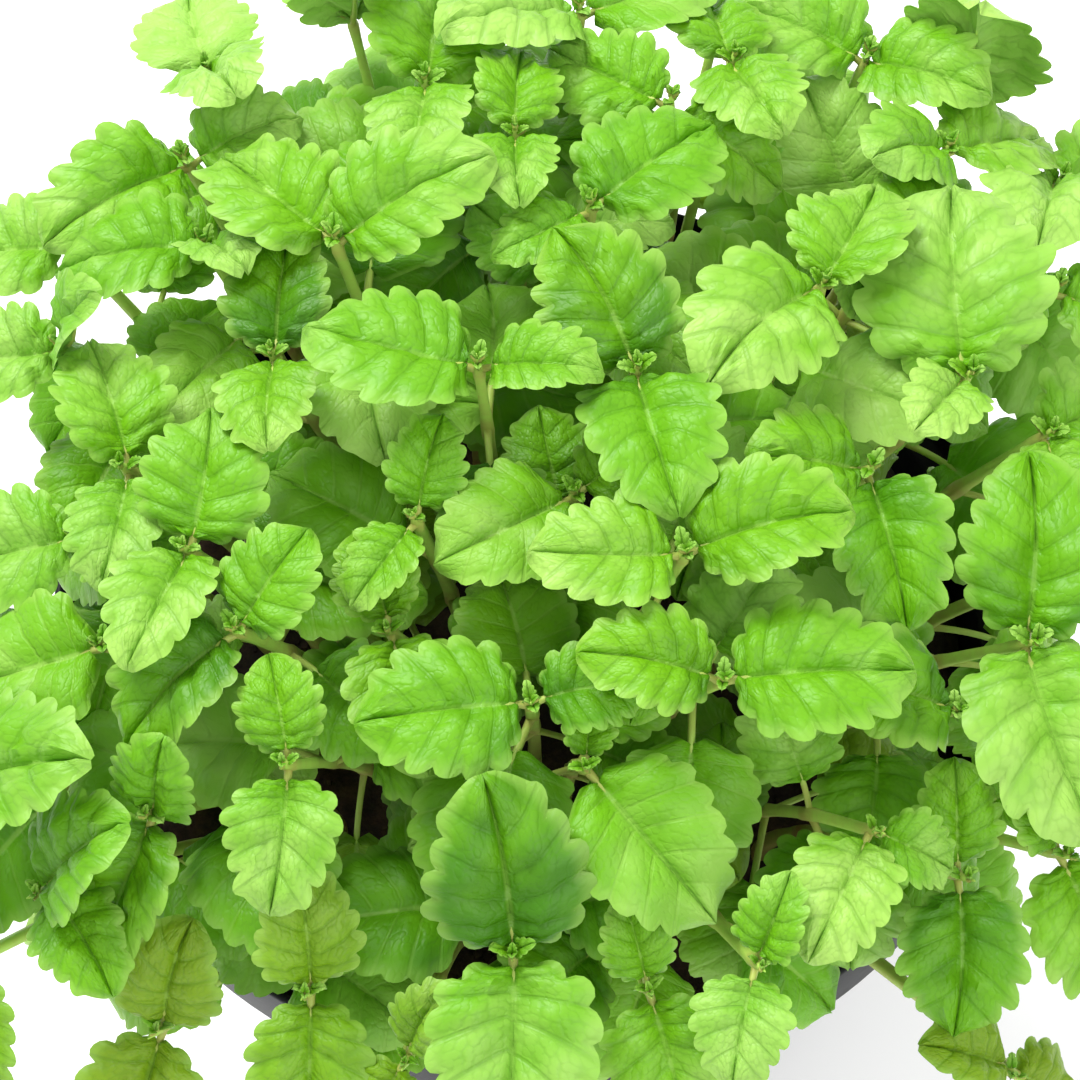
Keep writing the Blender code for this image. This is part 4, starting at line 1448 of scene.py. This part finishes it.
@dataclass
class Soil:
    """The compost: a plug that fills the pot, crumbly on top, with loose crumbs lying on it."""

    top: float = 0.092
    crown: float = 0.002
    radius: float = 0.0585
    crumbs: int = 700
    crumb_sizes: tuple[float, float] = (0.0005, 0.0017)
    relief: float = 0.0012
    longest_wave: float = 0.012

    def rough(self, x: Floats, y: Floats) -> Floats:
        """Crumbly relief: a sum of sine waves with set directions, each finer and lower than the last.

        Args:
            x: places in plan.
            y: the same.

        Returns:
            Heights, about -1 to 1.
        """
        draw = np.random.default_rng(5)
        height = np.zeros_like(x)
        for octave in range(5):
            for _ in range(5):
                angle, start = draw.uniform(0, math.tau, 2)
                waves = math.tau / (self.longest_wave / 1.9**octave)
                along = x * math.cos(angle) + y * math.sin(angle)
                height += np.sin(waves * along + start) / 1.7**octave
        return height / 8

    def plug(self) -> Patch:
        """The plug: its half profile turned about Z, with its upper face roughened."""
        inner = np.linspace(0, self.radius - 0.003, 46)
        top = np.column_stack((inner, self.top + self.crown * (1 - (inner / self.radius) ** 2)))
        shoulder = (self.radius - 0.0005, self.top - 0.0035)
        outer = np.array((shoulder, (0.0446, 0.0047), (0.0425, 0.0018), (0.0, 0.0018)))
        patch = turned_surface(np.vstack((top, outer)), 150)
        x, y, z = patch.points.T
        share = np.clip((z - self.top + 0.0005) / 0.0005, 0, 1)
        patch.points[:, 2] += share * self.relief * (self.rough(x, y) - 0.3)
        return patch

    def loose(self) -> Patch:
        """Loose crumbs: small eight-cornered lumps, each stretched and turned at random."""
        draw = np.random.default_rng(11)
        corners = np.array([(x, y, z) for x in (-1, 1) for y in (-1, 1) for z in (-1, 1)], float)
        sides = ((0, 1, 3, 2), (4, 6, 7, 5), (0, 4, 5, 1), (2, 3, 7, 6), (0, 2, 6, 4), (1, 5, 7, 3))
        size = draw.uniform(*self.crumb_sizes, (self.crumbs, 1, 1)) / 2
        shape = corners[None] * size * draw.uniform(0.5, 1.0, (self.crumbs, 1, 3))
        shape *= draw.uniform(0.7, 1.0, (self.crumbs, 8, 1))
        turn = draw.uniform(0, math.tau, (self.crumbs, 3))
        for axis in range(3):
            i, j = (axis + 1) % 3, (axis + 2) % 3
            cosine, sine = np.cos(turn[:, axis, None]), np.sin(turn[:, axis, None])
            a, b = shape[..., i].copy(), shape[..., j].copy()
            shape[..., i], shape[..., j] = a * cosine - b * sine, a * sine + b * cosine
        out = (self.radius - 0.003) * np.sqrt(draw.uniform(0, 1, self.crumbs))
        angle = draw.uniform(0, math.tau, self.crumbs)
        x, y = out * np.cos(angle), out * np.sin(angle)
        z = self.top + self.crown * (1 - (out / self.radius) ** 2)
        z = z + self.relief * (self.rough(x, y) - 0.3)
        points = shape + np.stack((x, y, z), axis=-1)[:, None, :]
        faces = np.array(sides)[None] + 8 * np.arange(self.crumbs)[:, None, None]
        return Patch(points.reshape(-1, 3), faces.reshape(-1, 4)).facing_out()

    def build(self, peat: bpy.types.Material) -> bpy.types.Object:
        """Builds the soil and lets it stand for its solid.

        Args:
            peat: its material.

        Returns:
            The piece.
        """
        piece = Piece("soil_fine", [peat])
        piece.add(self.plug())
        piece.add(self.loose())
        made = piece.build()
        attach(made, "root")
        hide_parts("soil")
        return made


@dataclass(frozen=True)
class Viewpoint:
    """The photograph's view: from above the front edge, with a long lens."""

    elevation: float = 62.0
    distance: float = 0.380
    look_height: float = 0.121
    lens: float = 98.4
    sensor: float = 36.0

    def place(self) -> None:
        """Puts the camera in place and makes it the scene's."""
        back = math.radians(self.elevation)
        data = bpy.data.cameras.new("photo_view")
        data.lens = self.lens
        data.sensor_width = self.sensor
        data.clip_start = 0.01
        camera = bpy.data.objects.new("photo_view", data)
        height = self.look_height + self.distance * math.sin(back)
        camera.location = (0.0, -self.distance * math.cos(back), height)
        camera.rotation_euler = (math.pi / 2 - back, 0.0, 0.0)
        bpy.context.scene.collection.objects.link(camera)
        bpy.context.scene.camera = camera


@dataclass(frozen=True)
class SoftBox:
    """One soft studio light: where it stands, where it points, its side and its power in watts."""

    name: str
    place: tuple[float, float, float]
    side: float
    power: float
    colour: str = "#FFFFFF"
    aim: tuple[float, float, float] = (0.0, 0.0, 0.13)

    def build(self) -> None:
        """Adds the light."""
        data = bpy.data.lights.new(self.name, "AREA")
        data.shape = "SQUARE"
        data.size = self.side
        data.energy = self.power
        data.color = linear(self.colour)[:3]
        light = bpy.data.objects.new(self.name, data)
        light.location = self.place
        towards = Vector(self.aim) - Vector(self.place)
        light.rotation_euler = towards.to_track_quat("-Z", "Y").to_euler()
        bpy.context.scene.collection.objects.link(light)


@dataclass(frozen=True)
class Studio:
    """A plain white floor, an even pale surround and soft lights from above."""

    floor_side: float = 6.0
    surround: float = 0.90
    lights: tuple[SoftBox, ...] = (
        SoftBox("key", (-0.45, 0.55, 1.05), 0.6, 18.0),
        SoftBox("fill", (0.5, -0.7, 0.9), 0.9, 7.0),
    )

    def build(self) -> None:
        """Adds the floor, the surround and the lights."""
        half = self.floor_side / 2
        floor = bpy.data.meshes.new("floor")
        corners = [(x * half, y * half, 0) for x, y in ((-1, -1), (1, -1), (1, 1), (-1, 1))]
        floor.from_pydata(corners, [], [(0, 1, 2, 3)])
        floor.materials.append(MattPaint().material())
        made = bpy.data.objects.new("floor", floor)
        bpy.context.scene.collection.objects.link(made)
        made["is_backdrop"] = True
        world = bpy.data.worlds.new("surround")
        world.use_nodes = True
        sky = world.node_tree.nodes["Background"].inputs
        sky["Color"].default_value = linear("#FFFFFF")
        sky["Strength"].default_value = self.surround
        bpy.context.scene.world = world
        for light in self.lights:
            light.build()
        view = bpy.context.scene.view_settings
        view.view_transform = "Standard"
        view.exposure = 0.0


def report_reach(piece: bpy.types.Object, node: str) -> int:
    """Logs how far a piece stands out of the box of the node that it replaces.

    Args:
        piece: the piece.
        node: the node's name.

    Returns:
        The number of the piece's triangles.
    """
    points = np.empty(3 * len(piece.data.vertices), np.float32)
    piece.data.vertices.foreach_get("co", points)
    points = points.reshape(-1, 3)
    low, high = (np.array(corner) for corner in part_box(node))
    out = max((low - points.min(axis=0)).max(), (points.max(axis=0) - high).max())
    triangles = len(piece.data.loops) - 2 * len(piece.data.polygons)
    LOG.info("%s: %d triangles, %.1f mm out of its node's box", piece.name, triangles, 1000 * out)
    return triangles


def main() -> None:
    """Builds the view, the studio and every piece of the plant."""
    logging.basicConfig(level=logging.INFO, format="%(message)s")
    Viewpoint().place()
    Studio().build()
    triangles = report_reach(Pot().build(MouldedPolypropylene().material()), "pot")
    triangles += report_reach(Soil().build(MoistPeat().material()), "soil")
    growth = Growth()
    stems = growth.stems()
    leaf_finish, stem_finish = LivingLeaf().material(), LivingStem().material()
    for number, (stem, leaves) in enumerate(zip(stems, growth.leaves(stems)), start=1):
        leafy = LeafyStem(number, stem, leaves)
        triangles += report_reach(leafy.build(leaf_finish, stem_finish), leafy.node)
    sizes = {"solids": [list(corner) for corner in SOLID_BOUNDS], "scene": [list(corner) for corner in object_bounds()]}
    LOG.info("%d triangles; solids %s, scene %s", triangles, sizes["solids"], sizes["scene"])


if __name__ == "__main__":
    main()
